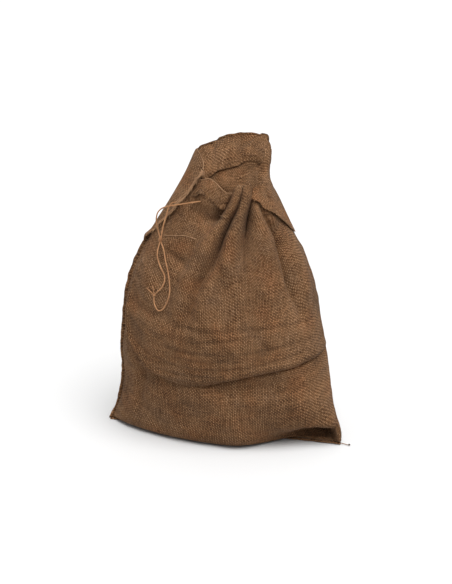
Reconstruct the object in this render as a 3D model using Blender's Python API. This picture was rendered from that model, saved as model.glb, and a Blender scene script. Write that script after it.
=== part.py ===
"""Sack race bag: an open jute sack with a drawn mouth, standing on its rounded base.

Metres, +Z up. The front of the sack faces -Y and its left side seam is at -X.
The cloth is lofted through four guide curves that share one station number, from the
bottom seam (station 0) to the top rim of the hood (station 14).
"""

import math

import bmesh
import bpy
from mathutils import Vector

# Driving dimensions
CLOTH = 0.0020          # thickness of one layer of hessian
GAP = 0.0002            # half of the space left between two pieces that meet
TWINE = 0.0028          # drawstring diameter
CHANNEL = 0.0046        # space inside a hem, for the drawstring
WING_LIFT = 0.0030      # how far a turned-out hem stands off the cloth below it
SEAM_ROLL = 0.0034      # thickness of an overlocked seam edge
SEAM_WIDTH = 0.0080     # how far an overlocked seam edge stands out
STITCH = 0.0012         # hem stitching thread
FLOOR = CLOTH + GAP     # height of the inner cloth face where the sack rests
RESTING = 0.0012        # cloth this near the ground lies flat on it
BASE_CENTRE = Vector((-0.00174, -0.03255, 0.0))  # middle of the base; it goes to the origin

RIM_FRONT = 12.0        # station of the front rim
RIM_BACK = 14.0         # station of the back rim, the top of the hood
PULL_AXIS = Vector((-0.985, -0.100, -0.125)).normalized()
INNER_REACH = 0.066     # straight twine kept inside the mouth, for the pull
HOLE_RADIUS = 0.0023    # opening in the cloth that a strand slides through
RING_RADIUS = 0.0047    # slip knot, to the middle of its turn
END_KNOT_RADIUS = 0.0044
HEM_RIGHT = 0.885       # ends of the hem inside the hood, as shares of the width
HEM_LEFT = 0.09

# Guide curves, one point for each station. Both walls share the two side edges.
LEFT_EDGE = [
    (-0.290, 0.016, 0.0075), (-0.289, 0.019, 0.012), (-0.284, 0.024, 0.026),
    (-0.268, 0.020, 0.070), (-0.259, 0.012, 0.120), (-0.2575, 0.006, 0.165),
    (-0.2590, 0.003, 0.208), (-0.251, 0.000, 0.275), (-0.244, 0.000, 0.355),
    (-0.220, 0.000, 0.430), (-0.178, 0.005, 0.512), (-0.132, 0.012, 0.586),
    (-0.098, 0.020, 0.645), (-0.077, 0.030, 0.690), (-0.066, 0.036, 0.708),
]
RIGHT_EDGE = [
    (0.276, -0.131, 0.0075), (0.276, -0.128, 0.014), (0.275, -0.120, 0.032),
    (0.263, -0.102, 0.072), (0.252, -0.086, 0.125), (0.247, -0.068, 0.170),
    (0.241, -0.050, 0.212), (0.230, -0.022, 0.275), (0.217, -0.008, 0.350),
    (0.191, -0.002, 0.435), (0.154, 0.000, 0.510), (0.123, 0.008, 0.575),
    (0.101, 0.020, 0.625), (0.099, 0.034, 0.695), (0.097, 0.042, 0.731),
]
FRONT_RIDGE = [
    (-0.007, -0.0575, 0.0070), (-0.006, -0.130, FLOOR), (-0.004, -0.160, 0.020),
    (0.000, -0.171, 0.070), (0.000, -0.168, 0.120), (0.000, -0.162, 0.165),
    (0.000, -0.173, 0.212), (0.000, -0.173, 0.280), (0.000, -0.162, 0.360),
    (0.005, -0.141, 0.440), (0.015, -0.110, 0.518), (0.028, -0.077, 0.585),
    (0.035, -0.054, 0.632), (0.037, -0.030, 0.690), (0.035, -0.012, 0.715),
]
BACK_RIDGE = [
    (-0.007, -0.0575, 0.0070), (0.000, 0.050, FLOOR), (0.000, 0.080, 0.022),
    (0.000, 0.096, 0.070), (0.000, 0.103, 0.125), (0.000, 0.106, 0.170),
    (0.000, 0.107, 0.212), (0.000, 0.106, 0.280), (0.000, 0.102, 0.360),
    (0.003, 0.096, 0.440), (0.010, 0.087, 0.518), (0.015, 0.077, 0.585),
    (0.018, 0.068, 0.637), (0.024, 0.058, 0.702), (0.030, 0.052, 0.736),
]

# Tuck under the right of the belly, as offsets from the bottom seam at stations 0 to 3
EAR_TUCK = [(0.0, 0.0, 0.0), (0.0, 0.024, 0.010), (0.0, 0.034, 0.025), (0.0, -0.024, 0.045)]

# Free edges of the turned-out hems, as (station, share of the width from the left)
LEFT_WING_EDGE = [
    (9.72, 0.020), (9.90, 0.070), (10.1, 0.120), (10.65, 0.160), (11.3, 0.190),
    (12.15, 0.230), (12.65, 0.210), (12.95, 0.160), (13.3, 0.090), (13.8, 0.050),
]
RIGHT_WING_EDGE = [
    (9.95, 0.985), (10.1, 0.920), (10.5, 0.820), (10.85, 0.740), (11.05, 0.670),
    (11.33, 0.590), (12.05, 0.605), (12.5, 0.670),
]

# Lower edge of the hem inside the hood, as (share of the width, station)
BACK_HEM_EDGE = [
    (0.09, 12.25), (0.20, 11.95), (0.37, 11.88), (0.46, 12.03), (0.55, 12.23),
    (0.67, 12.42), (0.80, 12.30), (0.885, 12.10),
]

# Drawstring: where each strand leaves the cloth, and its hanging route from there
EXIT_A = Vector((-0.0604, -0.0591, 0.5972))
EXIT_B = Vector((-0.1225, -0.0285, 0.5855))
SLIP_KNOT = Vector((-0.160, -0.068, 0.504))
SLIP_DIRECTION = Vector((0.0, -0.50, -0.86)).normalized()
END_KNOT = Vector((-0.175, -0.1145, 0.382))
STRAND_A_UPPER = [
    (-0.139, -0.067, 0.587), (-0.149, -0.067, 0.5845), (-0.159, -0.067, 0.579), (-0.166, -0.067, 0.570),
    (-0.169, -0.066, 0.557), (-0.169, -0.064, 0.545), (-0.167, -0.062, 0.532), (-0.164, -0.0625, 0.519),
]
STRAND_A_LOWER = [
    (-0.1655, -0.078, 0.486), (-0.1675, -0.085, 0.471), (-0.163, -0.093, 0.454), (-0.156, -0.104, 0.441),
    (-0.150, -0.112, 0.430), (-0.150, -0.119, 0.418), (-0.156, -0.1205, 0.404), (-0.164, -0.119, 0.395),
]
STRAND_B_UPPER = [
    (-0.1375, -0.031, 0.579), (-0.143, -0.034, 0.569), (-0.147, -0.041, 0.555), (-0.153, -0.050, 0.537),
    (-0.1565, -0.058, 0.521),
]
STRAND_B_LOWER = [
    (-0.152, -0.084, 0.484), (-0.148, -0.096, 0.463), (-0.142, -0.110, 0.441), (-0.1385, -0.122, 0.420),
    (-0.137, -0.129, 0.405), (-0.139, -0.134, 0.387), (-0.146, -0.1355, 0.367), (-0.156, -0.133, 0.352),
    (-0.166, -0.1285, 0.349), (-0.173, -0.122, 0.358), (-0.1755, -0.117, 0.369),
]
CUT_ENDS = [(-0.190, -0.106, 0.394), (-0.1775, -0.113, 0.399)]

# The held run inside the hood's hem, as (share of the width, station)
CASING_RUN = [
    (0.925, 12.78), (0.83, 12.98), (0.65, 13.12), (0.50, 13.15), (0.35, 13.15),
    (0.22, 13.10), (0.13, 12.98), (0.055, 12.80),
]

COLOURS = {
    "hessian": (0.27, 0.165, 0.088),
    "hem": (0.31, 0.190, 0.100),
    "thread": (0.36, 0.215, 0.105),
    "twine": (0.52, 0.290, 0.110),
}


def clear_scene():
    for obj in list(bpy.data.objects):
        bpy.data.objects.remove(obj, do_unlink=True)


def material(name):
    mat = bpy.data.materials.get(name)
    if mat is None:
        mat = bpy.data.materials.new(name)
        mat.use_nodes = True
        shader = mat.node_tree.nodes["Principled BSDF"]
        shader.inputs["Base Color"].default_value = (*COLOURS[name], 1.0)
        shader.inputs["Roughness"].default_value = 0.95
        shader.inputs["Metallic"].default_value = 0.0
    return mat


def add_object(name, data, mat):
    obj = bpy.data.objects.new(name, data)
    obj.location = -BASE_CENTRE
    bpy.context.scene.collection.objects.link(obj)
    data.materials.append(material(mat))
    return obj


def smoothstep(low, high, value):
    t = min(max((value - low) / (high - low), 0.0), 1.0)
    return t * t * (3 - 2 * t)


def on_curve(points, s):
    """The point at station s of a smooth curve through the points."""
    last = len(points) - 1
    i = min(max(int(s), 0), last - 1)
    f = s - i
    p1 = Vector(points[i])
    p2 = Vector(points[i + 1])
    p0 = Vector(points[i - 1]) if i > 0 else p1 * 2 - p2
    p3 = Vector(points[i + 2]) if i + 2 <= last else p2 * 2 - p1
    return 0.5 * (
        p1 * 2
        + (p2 - p0) * f
        + (p0 * 2 - p1 * 5 + p2 * 4 - p3) * f * f
        + (p1 * 3 - p0 - p2 * 3 + p3) * f ** 3
    )


def seam_point(u):
    """The bottom seam, which runs straight between the two lower corners."""
    share = (1 - math.cos(math.pi * u)) / 2
    return on_curve(LEFT_EDGE, 0).lerp(on_curve(RIGHT_EDGE, 0), share)


def wall_point(ridge, u, s):
    """The inner face of a wall: u runs from the left edge to the right edge, s is the station."""
    left = on_curve(LEFT_EDGE, s)
    right = on_curve(RIGHT_EDGE, s)
    share = (1 - math.cos(math.pi * u)) / 2
    stand_out = on_curve(ridge, s) - (left + right) / 2
    round_part = math.sin(math.pi * u)
    stand_out.x *= round_part
    stand_out.z *= round_part
    return left.lerp(right, share) + stand_out * round_part


def front_point(u, s):
    point = wall_point(FRONT_RIDGE, u, s)
    ear = smoothstep(0.50, 0.68, u) * (1 - smoothstep(0.74, 0.97, u)) * (1 - smoothstep(2.6, 4.0, s))
    if ear > 0:
        tucked = seam_point(u) + on_curve(EAR_TUCK, min(s, 3.0))
        if s > 3.0:
            tucked.z += wall_point(FRONT_RIDGE, u, s).z - wall_point(FRONT_RIDGE, u, 3.0).z
        point = point.lerp(tucked, ear)
    point.z = max(point.z, FLOOR)
    return point


def back_point(u, s):
    point = wall_point(BACK_RIDGE, u, s)
    point.z = max(point.z, FLOOR)
    return point


def outward(surface, u, s, away):
    """The unit normal of a wall, on the side that faces away from the sack's middle."""
    step = 0.004
    across = surface(min(u + step, 1.0), s) - surface(max(u - step, 0.0), s)
    along = surface(u, min(s + step, RIM_BACK)) - surface(u, max(s - step, 0.0))
    return (across.cross(along) * away).normalized()


def grid_solid(name, rows, mat):
    """A closed solid from rows of (inner, outer) point pairs."""
    bm = bmesh.new()
    inner = [[bm.verts.new(pair[0]) for pair in row] for row in rows]
    outer = [[bm.verts.new(pair[1]) for pair in row] for row in rows]
    tall = len(rows)
    wide = len(rows[0])
    for i in range(tall - 1):
        for j in range(wide - 1):
            bm.faces.new((inner[i][j], inner[i][j + 1], inner[i + 1][j + 1], inner[i + 1][j]))
            bm.faces.new((outer[i][j], outer[i + 1][j], outer[i + 1][j + 1], outer[i][j + 1]))
    border = [(0, j) for j in range(wide)]
    border += [(i, wide - 1) for i in range(1, tall)]
    border += [(tall - 1, j) for j in range(wide - 2, -1, -1)]
    border += [(i, 0) for i in range(tall - 2, 0, -1)]
    for k, (i, j) in enumerate(border):
        m, n = border[(k + 1) % len(border)]
        bm.faces.new((inner[i][j], outer[i][j], outer[m][n], inner[m][n]))
    bmesh.ops.triangulate(bm, faces=bm.faces[:])
    bmesh.ops.recalc_face_normals(bm, faces=bm.faces[:])
    if bm.calc_volume(signed=True) < 0:
        bmesh.ops.reverse_faces(bm, faces=bm.faces[:])
    mesh = bpy.data.meshes.new(name)
    bm.to_mesh(mesh)
    bm.free()
    return add_object(name, mesh, mat)


def layer(surface, away, cells, near, far):
    """Rows of (inner, outer) pairs over cells of (u, s), between two distances from a wall."""
    rows = []
    for row in cells:
        pairs = []
        for u, s in row:
            point = surface(u, s)
            normal = outward(surface, min(max(u, 0.01), 0.99), s, away)
            inner = point + normal * near
            outer = point + normal * far
            inner.z = max(inner.z, GAP)
            if outer.z < RESTING:
                outer.z = 0.0
            pairs.append((inner, outer))
        rows.append(pairs)
    return rows


def pull_back_border(rows):
    """Moves the side and bottom borders in, to leave a space to the wall that they meet."""
    for row in rows:
        for edge, beside in ((0, 1), (-1, -2)):
            shift = (row[beside][0] - row[edge][0]).normalized() * 2 * GAP
            row[edge] = (row[edge][0] + shift, row[edge][1] + shift)
    last = len(rows[0])
    for j in range(last):
        shift = (rows[1][j][0] - rows[0][j][0]).normalized() * 2 * GAP
        rows[0][j] = (rows[0][j][0] + shift, rows[0][j][1] + shift)
    return rows


def even(low, high, count):
    return [low + (high - low) * i / (count - 1) for i in range(count)]


def edge_at(points, s):
    """The share of the width at station s, on a hem's free edge."""
    for (s0, u0), (s1, u1) in zip(points, points[1:]):
        if s <= s1:
            return u0 + (u1 - u0) * (s - s0) / (s1 - s0)
    return points[-1][1]


def back_hem_low(u):
    """The station of the lower edge of the hem inside the hood."""
    for (u0, s0), (u1, s1) in zip(BACK_HEM_EDGE, BACK_HEM_EDGE[1:]):
        if u <= u1:
            return s0 + (s1 - s0) * (u - u0) / (u1 - u0)
    return BACK_HEM_EDGE[-1][1]


def stations(rim):
    """Stations from the seam to a rim, closer together near the ground."""
    low = even(0.0, 4.0, 15)
    return low + even(4.0, rim, 2 * int(rim - 4) + 3)[1:]


def make_panels():
    shares = [0.5 - 0.5 * math.cos(math.pi * (0.5 + 0.5 * (2 * t - 1))) for t in even(0, 1, 27)]
    shares = [0.35 * a + 0.65 * b for a, b in zip(shares, even(0, 1, 27))]
    front_cells = [[(u, s) for u in shares] for s in stations(RIM_FRONT)]
    front = grid_solid(
        "front_panel",
        pull_back_border(layer(front_point, 1, front_cells, GAP, GAP + CLOTH)),
        "hessian",
    )
    back_cells = [[(u, s) for u in shares] for s in stations(RIM_BACK)]
    grid_solid(
        "back_panel",
        pull_back_border(layer(back_point, -1, back_cells, GAP, GAP + CLOTH)),
        "hessian",
    )
    return front


def make_hems():
    shares = even(HEM_LEFT, HEM_RIGHT, 20)
    back_cells = [
        [(u, back_hem_low(u) + (13.97 - back_hem_low(u)) * t) for u in shares]
        for t in even(0.0, 1.0, 7)
    ]
    grid_solid(
        "back_casing_hem",
        layer(back_point, -1, back_cells, -CHANNEL - CLOTH, -CHANNEL),
        "hem",
    )
    front_cells = [[(u, s) for u in even(0.14, 0.86, 15)] for s in even(11.50, 11.97, 4)]
    grid_solid(
        "front_casing_hem",
        layer(front_point, 1, front_cells, -CHANNEL - CLOTH, -CHANNEL),
        "hem",
    )
    low = GAP + CLOTH + WING_LIFT
    left_cells = [
        [(edge_at(LEFT_WING_EDGE, s) * t, s) for t in even(0.0, 1.0, 9)]
        for s in even(LEFT_WING_EDGE[0][0], LEFT_WING_EDGE[-1][0], 15)
    ]
    left = grid_solid("left_casing_wing", layer(front_point, 1, left_cells, low, low + CLOTH), "hem")
    right_cells = [
        [(1 - (1 - edge_at(RIGHT_WING_EDGE, s)) * t, s) for t in even(0.0, 1.0, 9)]
        for s in even(RIGHT_WING_EDGE[0][0], RIGHT_WING_EDGE[-1][0], 12)
    ]
    grid_solid("right_casing_wing", layer(front_point, 1, right_cells, low, low + CLOTH), "hem")
    return left


def smooth_route(route, spacing):
    """Points at an even spacing along a smooth line through the route points."""
    fine = [on_curve(route, i / 30) for i in range(30 * (len(route) - 1) + 1)]
    run = [0.0]
    for a, b in zip(fine, fine[1:]):
        run.append(run[-1] + (b - a).length)
    count = max(2, round(run[-1] / spacing) + 1)
    points = []
    k = 0
    for i in range(count):
        goal = run[-1] * i / (count - 1)
        while k < len(run) - 2 and run[k + 1] < goal:
            k += 1
        points.append(fine[k].lerp(fine[k + 1], (goal - run[k]) / (run[k + 1] - run[k])))
    return points


def make_tube(name, route, diameter, mat, spacing=0.0066):
    """A cord as one curve along a smooth line through the route points."""
    points = smooth_route(route, spacing)
    data = bpy.data.curves.new(name, "CURVE")
    data.dimensions = "3D"
    data.bevel_depth = diameter / 2
    data.bevel_resolution = 2
    data.use_fill_caps = True
    data.render_resolution_u = 0
    spline = data.splines.new("POLY")
    spline.points.add(len(points) - 1)
    for place, point in zip(spline.points, points):
        place.co = (*point, 1.0)
    return add_object(name, data, mat)


def ribbon(name, centres, half, mat):
    """A closed strip with a rounded section along the centres; half gives its two half widths."""
    bm = bmesh.new()
    sides = 8
    rings = []
    for i, centre in enumerate(centres):
        along = (centres[min(i + 1, len(centres) - 1)] - centres[max(i - 1, 0)]).normalized()
        wide, thick = half(i, along)
        rings.append([
            bm.verts.new(centre + wide * math.cos(math.tau * k / sides) + thick * math.sin(math.tau * k / sides))
            for k in range(sides)
        ])
    for a, b in zip(rings, rings[1:]):
        for k in range(sides):
            m = (k + 1) % sides
            bm.faces.new((a[k], a[m], b[m], b[k]))
    bm.faces.new(rings[0])
    bm.faces.new(list(reversed(rings[-1])))
    bmesh.ops.triangulate(bm, faces=bm.faces[:])
    bmesh.ops.recalc_face_normals(bm, faces=bm.faces[:])
    if bm.calc_volume(signed=True) < 0:
        bmesh.ops.reverse_faces(bm, faces=bm.faces[:])
    mesh = bpy.data.meshes.new(name)
    bm.to_mesh(mesh)
    bm.free()
    return add_object(name, mesh, mat)


def make_seams():
    edge = [on_curve(LEFT_EDGE, s) for s in even(0.35, 9.6, 44)]
    lift = CLOTH + 4 * GAP + SEAM_WIDTH / 2
    side = Vector((-1.0, 0.02, 0.0))

    def side_half(i, along):
        wide = (side - along * side.dot(along)).normalized()
        return wide * SEAM_WIDTH / 2, along.cross(wide) * SEAM_ROLL / 2

    centres = []
    for i, point in enumerate(edge):
        along = (edge[min(i + 1, len(edge) - 1)] - edge[max(i - 1, 0)]).normalized()
        centres.append(point + (side - along * side.dot(along)).normalized() * lift)
    ribbon("left_side_seam", centres, side_half, "thread")

    seam = [seam_point(u) for u in even(0.02, 0.98, 40)]
    flat = [Vector((p.x, p.y, GAP + SEAM_ROLL / 2)) for p in seam]

    def flat_half(i, along):
        return Vector((-along.y, along.x, 0)) * SEAM_WIDTH / 2, Vector((0, 0, SEAM_ROLL / 2))

    ribbon("bottom_seam", flat, flat_half, "thread")


def stitch_row(name, surface, away, depth, path, mat):
    """One line of hem stitching: a thread that follows a path of (u, s) at a distance from a wall."""
    points = [tuple(surface(u, s) + outward(surface, u, s, away) * depth) for u, s in path]
    return make_tube(name, points, STITCH, mat, 0.007)


def make_stitching():
    proud = STITCH / 2 + 4 * GAP
    shares = even(0.13, 0.86, 20)
    path = [(u, back_hem_low(u) + 0.16) for u in shares]
    stitch_row("back_hem_stitching", back_point, -1, -CHANNEL - CLOTH - proud, path, "thread")
    path = [(u, 11.05 - 0.25 * (u - 0.5) ** 2) for u in even(0.31, 0.56, 9)]
    stitch_row("front_hem_stitching", front_point, 1, GAP + CLOTH + proud, path, "thread")
    wing = GAP + CLOTH + WING_LIFT + CLOTH + proud
    path = [(edge_at(LEFT_WING_EDGE, s) - 0.022, s) for s in even(10.0, 12.1, 15)]
    stitch_row("left_wing_stitching", front_point, 1, wing, path, "thread")
    path = [(edge_at(RIGHT_WING_EDGE, s) + 0.035, s) for s in even(10.2, 11.25, 9)]
    stitch_row("right_wing_stitching", front_point, 1, wing, path, "thread")


def make_ring(name, centre, axis, major, minor, mat):
    """A closed turn of twine round an axis."""
    bm = bmesh.new()
    side = axis.orthogonal().normalized()
    other = axis.cross(side)
    turns = 16
    sides = 8
    rings = []
    for i in range(turns):
        angle = math.tau * i / turns
        out = side * math.cos(angle) + other * math.sin(angle)
        rings.append([
            bm.verts.new(
                centre + out * (major + minor * math.cos(math.tau * k / sides))
                + axis * minor * math.sin(math.tau * k / sides)
            )
            for k in range(sides)
        ])
    for i in range(turns):
        a = rings[i]
        b = rings[(i + 1) % turns]
        for k in range(sides):
            m = (k + 1) % sides
            bm.faces.new((a[k], a[m], b[m], b[k]))
    bmesh.ops.triangulate(bm, faces=bm.faces[:])
    bmesh.ops.recalc_face_normals(bm, faces=bm.faces[:])
    mesh = bpy.data.meshes.new(name)
    bm.to_mesh(mesh)
    bm.free()
    return add_object(name, mesh, mat)


def make_end_knot():
    bm = bmesh.new()
    bmesh.ops.create_icosphere(bm, subdivisions=2, radius=END_KNOT_RADIUS)
    for vert in bm.verts:
        swirl = math.atan2(vert.co.y, vert.co.x) * 2 + vert.co.z / END_KNOT_RADIUS * 2
        vert.co *= 0.95 + 0.05 * math.sin(swirl)
        vert.co += END_KNOT
    mesh = bpy.data.meshes.new("drawstring_end_knot")
    bm.to_mesh(mesh)
    bm.free()
    return add_object("drawstring_end_knot", mesh, "twine")


def straight(start, step, count):
    return [tuple(start + step * i) for i in range(count)]


def toward(point, goal, distance):
    """The point at a distance from goal, on the line to point."""
    return goal + (Vector(point) - goal).normalized() * distance


def make_drawstring():
    half = TWINE / 2
    beside = Vector((half + GAP, 0, 0))
    step = PULL_AXIS * INNER_REACH / 3
    knot_gap = END_KNOT_RADIUS + 2 * GAP
    strands = (
        ("drawstring_strand_a", EXIT_A, 0.026, 4, STRAND_A_UPPER, -beside, STRAND_A_LOWER),
        ("drawstring_strand_b", EXIT_B, 0.010, 2, STRAND_B_UPPER, beside, STRAND_B_LOWER),
    )
    for name, leaves, pace, paces, upper, offset, lower in strands:
        route = straight(leaves - PULL_AXIS * INNER_REACH, step, 4)
        route += straight(leaves + PULL_AXIS * pace, PULL_AXIS * pace, paces - 1)
        route += upper
        route += straight(SLIP_KNOT + offset - SLIP_DIRECTION * 0.006, SLIP_DIRECTION * 0.006, 3)
        route += lower
        route.append(tuple(toward(lower[-1], END_KNOT, knot_gap)))
        make_tube(name, route, TWINE, "twine")
    make_ring("drawstring_slip_knot", SLIP_KNOT, SLIP_DIRECTION, RING_RADIUS, half * 0.85, "twine")
    make_end_knot()
    for letter, tip in zip("ab", CUT_ENDS):
        root = toward(tip, END_KNOT, knot_gap)
        middle = root.lerp(Vector(tip), 0.5) + Vector((0, -0.001, 0.0005))
        make_tube("drawstring_cut_end_" + letter, [tuple(root), tuple(middle), tip], TWINE * 0.8, "twine", 0.005)

    inner_a = EXIT_A - PULL_AXIS * (INNER_REACH + 0.0008)
    inner_b = EXIT_B - PULL_AXIS * (INNER_REACH + 0.0008)
    channel = -CHANNEL / 2
    route = [
        tuple(inner_a), tuple(inner_a - PULL_AXIS * 0.012), (0.038, -0.0475, 0.609), (0.062, -0.039, 0.613),
        (0.080, -0.025, 0.622), (0.0885, -0.006, 0.637), (0.0910, 0.013, 0.653), (0.0915, 0.028, 0.670),
    ]
    for u, s in CASING_RUN:
        route.append(tuple(back_point(u, s) + outward(back_point, u, s, -1) * channel))
    route += [
        (-0.0770, 0.0150, 0.662), (-0.0745, 0.003, 0.650), (-0.067, -0.008, 0.636), (-0.058, -0.014, 0.624),
        (-0.050, -0.0175, 0.612), (-0.0475, -0.0205, 0.603), tuple(inner_b - PULL_AXIS * 0.005), tuple(inner_b),
    ]
    make_tube("drawstring_in_casing", route, TWINE, "twine", 0.0075)


def make_thread_tail():
    corner = seam_point(0.98)
    route = [
        (corner.x + 0.0012, corner.y - 0.0004, 0.0022), (corner.x + 0.008, corner.y - 0.001, 0.0014),
        (corner.x + 0.014, corner.y - 0.005, 0.0012), (corner.x + 0.021, corner.y - 0.010, 0.0012),
    ]
    make_tube("bottom_seam_thread_tail", route, 0.0018, "thread", 0.004)


def cut_strand_holes(panel, wing):
    """Opens the cloth where each strand slides through it."""
    for letter, leaves, solids in (("a", EXIT_A, (panel,)), ("b", EXIT_B, (panel, wing))):
        bm = bmesh.new()
        bmesh.ops.create_cone(
            bm, cap_ends=True, segments=12, radius1=HOLE_RADIUS, radius2=HOLE_RADIUS, depth=0.044
        )
        turn = PULL_AXIS.to_track_quat("Z", "Y").to_matrix().to_4x4()
        turn.translation = leaves
        bmesh.ops.transform(bm, matrix=turn, verts=bm.verts)
        mesh = bpy.data.meshes.new("strand_hole_" + letter)
        bm.to_mesh(mesh)
        bm.free()
        cutter = bpy.data.objects.new("strand_hole_" + letter, mesh)
        cutter.location = -BASE_CENTRE
        bpy.context.scene.collection.objects.link(cutter)
        cutter.hide_render = True
        cutter.display_type = "WIRE"
        for solid in solids:
            cut = solid.modifiers.new("strand_hole_" + letter, "BOOLEAN")
            cut.operation = "DIFFERENCE"
            cut.solver = "EXACT"
            cut.object = cutter


clear_scene()
front_panel = make_panels()
left_wing = make_hems()
make_seams()
make_stitching()
make_thread_tail()
make_drawstring()
cut_strand_holes(front_panel, left_wing)
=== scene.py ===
"""Sack race bag: the visual model of an open jute sack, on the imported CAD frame."""

import functools
import math

import bpy
import numpy as np
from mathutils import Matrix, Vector


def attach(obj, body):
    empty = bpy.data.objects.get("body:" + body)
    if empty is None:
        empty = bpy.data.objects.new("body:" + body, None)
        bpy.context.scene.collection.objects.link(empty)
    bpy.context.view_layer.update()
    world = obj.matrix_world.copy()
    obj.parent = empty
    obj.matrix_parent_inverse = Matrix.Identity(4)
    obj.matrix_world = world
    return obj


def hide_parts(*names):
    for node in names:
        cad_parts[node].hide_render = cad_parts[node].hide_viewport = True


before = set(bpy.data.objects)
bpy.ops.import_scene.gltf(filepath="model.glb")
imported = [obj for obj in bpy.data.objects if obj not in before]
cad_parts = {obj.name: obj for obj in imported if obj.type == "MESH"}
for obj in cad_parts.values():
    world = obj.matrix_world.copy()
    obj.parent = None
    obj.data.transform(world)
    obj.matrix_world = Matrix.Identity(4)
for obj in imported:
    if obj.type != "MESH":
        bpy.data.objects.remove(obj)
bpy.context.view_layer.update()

# Frame: part.py brings the middle of the base to the origin
BASE_CENTRE = np.array((-0.00174, -0.03255, 0.0))
CLOTH = 0.0013          # thickness of one layer of hessian
WARP = 0.0040           # spacing of the upright yarns
WEFT = 0.0037           # spacing of the level yarns
TWINE = 0.0028          # drawstring diameter
FLOOR = 0.0022          # height of the cloth's inner face where the sack rests
OUT_SHIFT = 0.0016      # outer face of the cloth, from the loft's guide surface
LEAST_HEIGHT = 0.0003   # of any cloth above the floor, and the thickness that a closed edge keeps
FLAT_WIDTH = 0.60       # flat width of the sack
SHARE_REACH = 0.012     # how far the corners of a table over the width are rounded
RIM_REACH = 0.004       # the same, for the hood's top edge
NECK_DENT = 0.100       # how far the back of the neck falls in
WAVINESS = ((0.0011, 0.075), (0.0005, 0.026))   # height and length of the walls' small waves
WING_LIFT = 0.0052      # how far a turned-out hem stands off the wall
HEM_START = 0.0012      # the same, where its ends are sewn down
WING_COLS = 72
WING_BACK = 18          # the columns of a wing that lie on the back wall
SEED = 7

# Light and camera
WORLD_LIGHT = 0.16
WORLD_OVERHEAD = 0.95
KEY_LIGHT = 3.8
KEY_SOFTNESS = 50       # degrees across
KEY_FROM = (0.27, -0.46, 1.20)
FLOOR_GREY = 0.57
CAMERA_ELEVATION = 20   # degrees
CAMERA_DISTANCE = 3.4
CAMERA_LENS = 85.56
CAMERA_TARGET = (-0.005, 0.0, 0.3483)

# Guide curves of the loft, one point for each station, as in part.py
LEFT_EDGE = [
    (-0.290, 0.016, 0.0075), (-0.289, 0.019, 0.012), (-0.284, 0.024, 0.026),
    (-0.268, 0.020, 0.070), (-0.259, 0.012, 0.120), (-0.2575, 0.006, 0.165),
    (-0.2590, 0.003, 0.208), (-0.251, 0.000, 0.275), (-0.244, 0.000, 0.355),
    (-0.220, 0.000, 0.430), (-0.178, 0.005, 0.512), (-0.132, 0.012, 0.586),
    (-0.098, 0.020, 0.645), (-0.077, 0.030, 0.690), (-0.066, 0.036, 0.708),
]
RIGHT_EDGE = [
    (0.276, -0.131, 0.0075), (0.276, -0.128, 0.014), (0.275, -0.120, 0.032),
    (0.263, -0.102, 0.072), (0.252, -0.086, 0.125), (0.247, -0.068, 0.170),
    (0.241, -0.050, 0.212), (0.230, -0.022, 0.275), (0.217, -0.008, 0.350),
    (0.191, -0.002, 0.435), (0.154, 0.000, 0.510), (0.123, 0.008, 0.575),
    (0.101, 0.020, 0.625), (0.099, 0.034, 0.695), (0.097, 0.042, 0.731),
]
FRONT_RIDGE = [
    (-0.007, -0.0575, 0.0070), (-0.006, -0.130, FLOOR), (-0.004, -0.160, 0.020),
    (0.000, -0.171, 0.070), (0.000, -0.168, 0.120), (0.000, -0.162, 0.165),
    (0.000, -0.173, 0.212), (0.000, -0.173, 0.280), (0.000, -0.162, 0.360),
    (0.005, -0.141, 0.440), (0.015, -0.110, 0.518), (0.028, -0.077, 0.585),
    (0.035, -0.054, 0.632), (0.037, -0.030, 0.690), (0.035, -0.012, 0.715),
]
BACK_RIDGE = [
    (-0.007, -0.0575, 0.0070), (0.000, 0.050, FLOOR), (0.000, 0.080, 0.022),
    (0.000, 0.096, 0.070), (0.000, 0.103, 0.125), (0.000, 0.106, 0.170),
    (0.000, 0.107, 0.212), (0.000, 0.106, 0.280), (0.000, 0.102, 0.360),
    (0.003, 0.096, 0.440), (0.010, 0.087, 0.518), (0.015, 0.077, 0.585),
    (0.018, 0.068, 0.637), (0.024, 0.058, 0.702), (0.030, 0.052, 0.736),
]
# The bottom corner at the right, tucked in behind the seam: one point for each station
EAR_TUCK = [(0.0, 0.0, 0.0), (0.0, 0.024, 0.007), (0.0, 0.038, 0.022), (0.0, -0.028, 0.046)]

# Height of the front rim and of the hood's top edge, as (share of the width, station)
FRONT_RIM = [
    (0.0, 12.0), (0.18, 12.0), (0.235, 11.90), (0.259, 12.00), (0.282, 12.04), (0.318, 11.95),
    (0.350, 11.81), (0.373, 11.67), (0.395, 11.58), (0.418, 11.53), (0.436, 11.60), (0.452, 11.85),
    (0.468, 11.93), (0.486, 11.78), (0.503, 11.88), (0.520, 12.02), (0.541, 12.03), (0.560, 11.93),
    (0.576, 11.75), (0.60, 11.5), (0.66, 11.4), (0.74, 11.5), (0.86, 11.9), (1.0, 12.0),
]
HOOD_RIM = [
    (0.0, 13.60), (0.035, 13.76), (0.10, 13.80), (0.20, 13.74), (0.298, 13.68), (0.310, 13.96),
    (0.40, 13.95), (0.45, 13.90), (0.50, 13.88), (0.62, 13.87), (0.72, 13.80), (0.80, 13.90), (0.88, 13.94),
    (0.95, 13.86), (1.0, 13.55),
]
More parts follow.
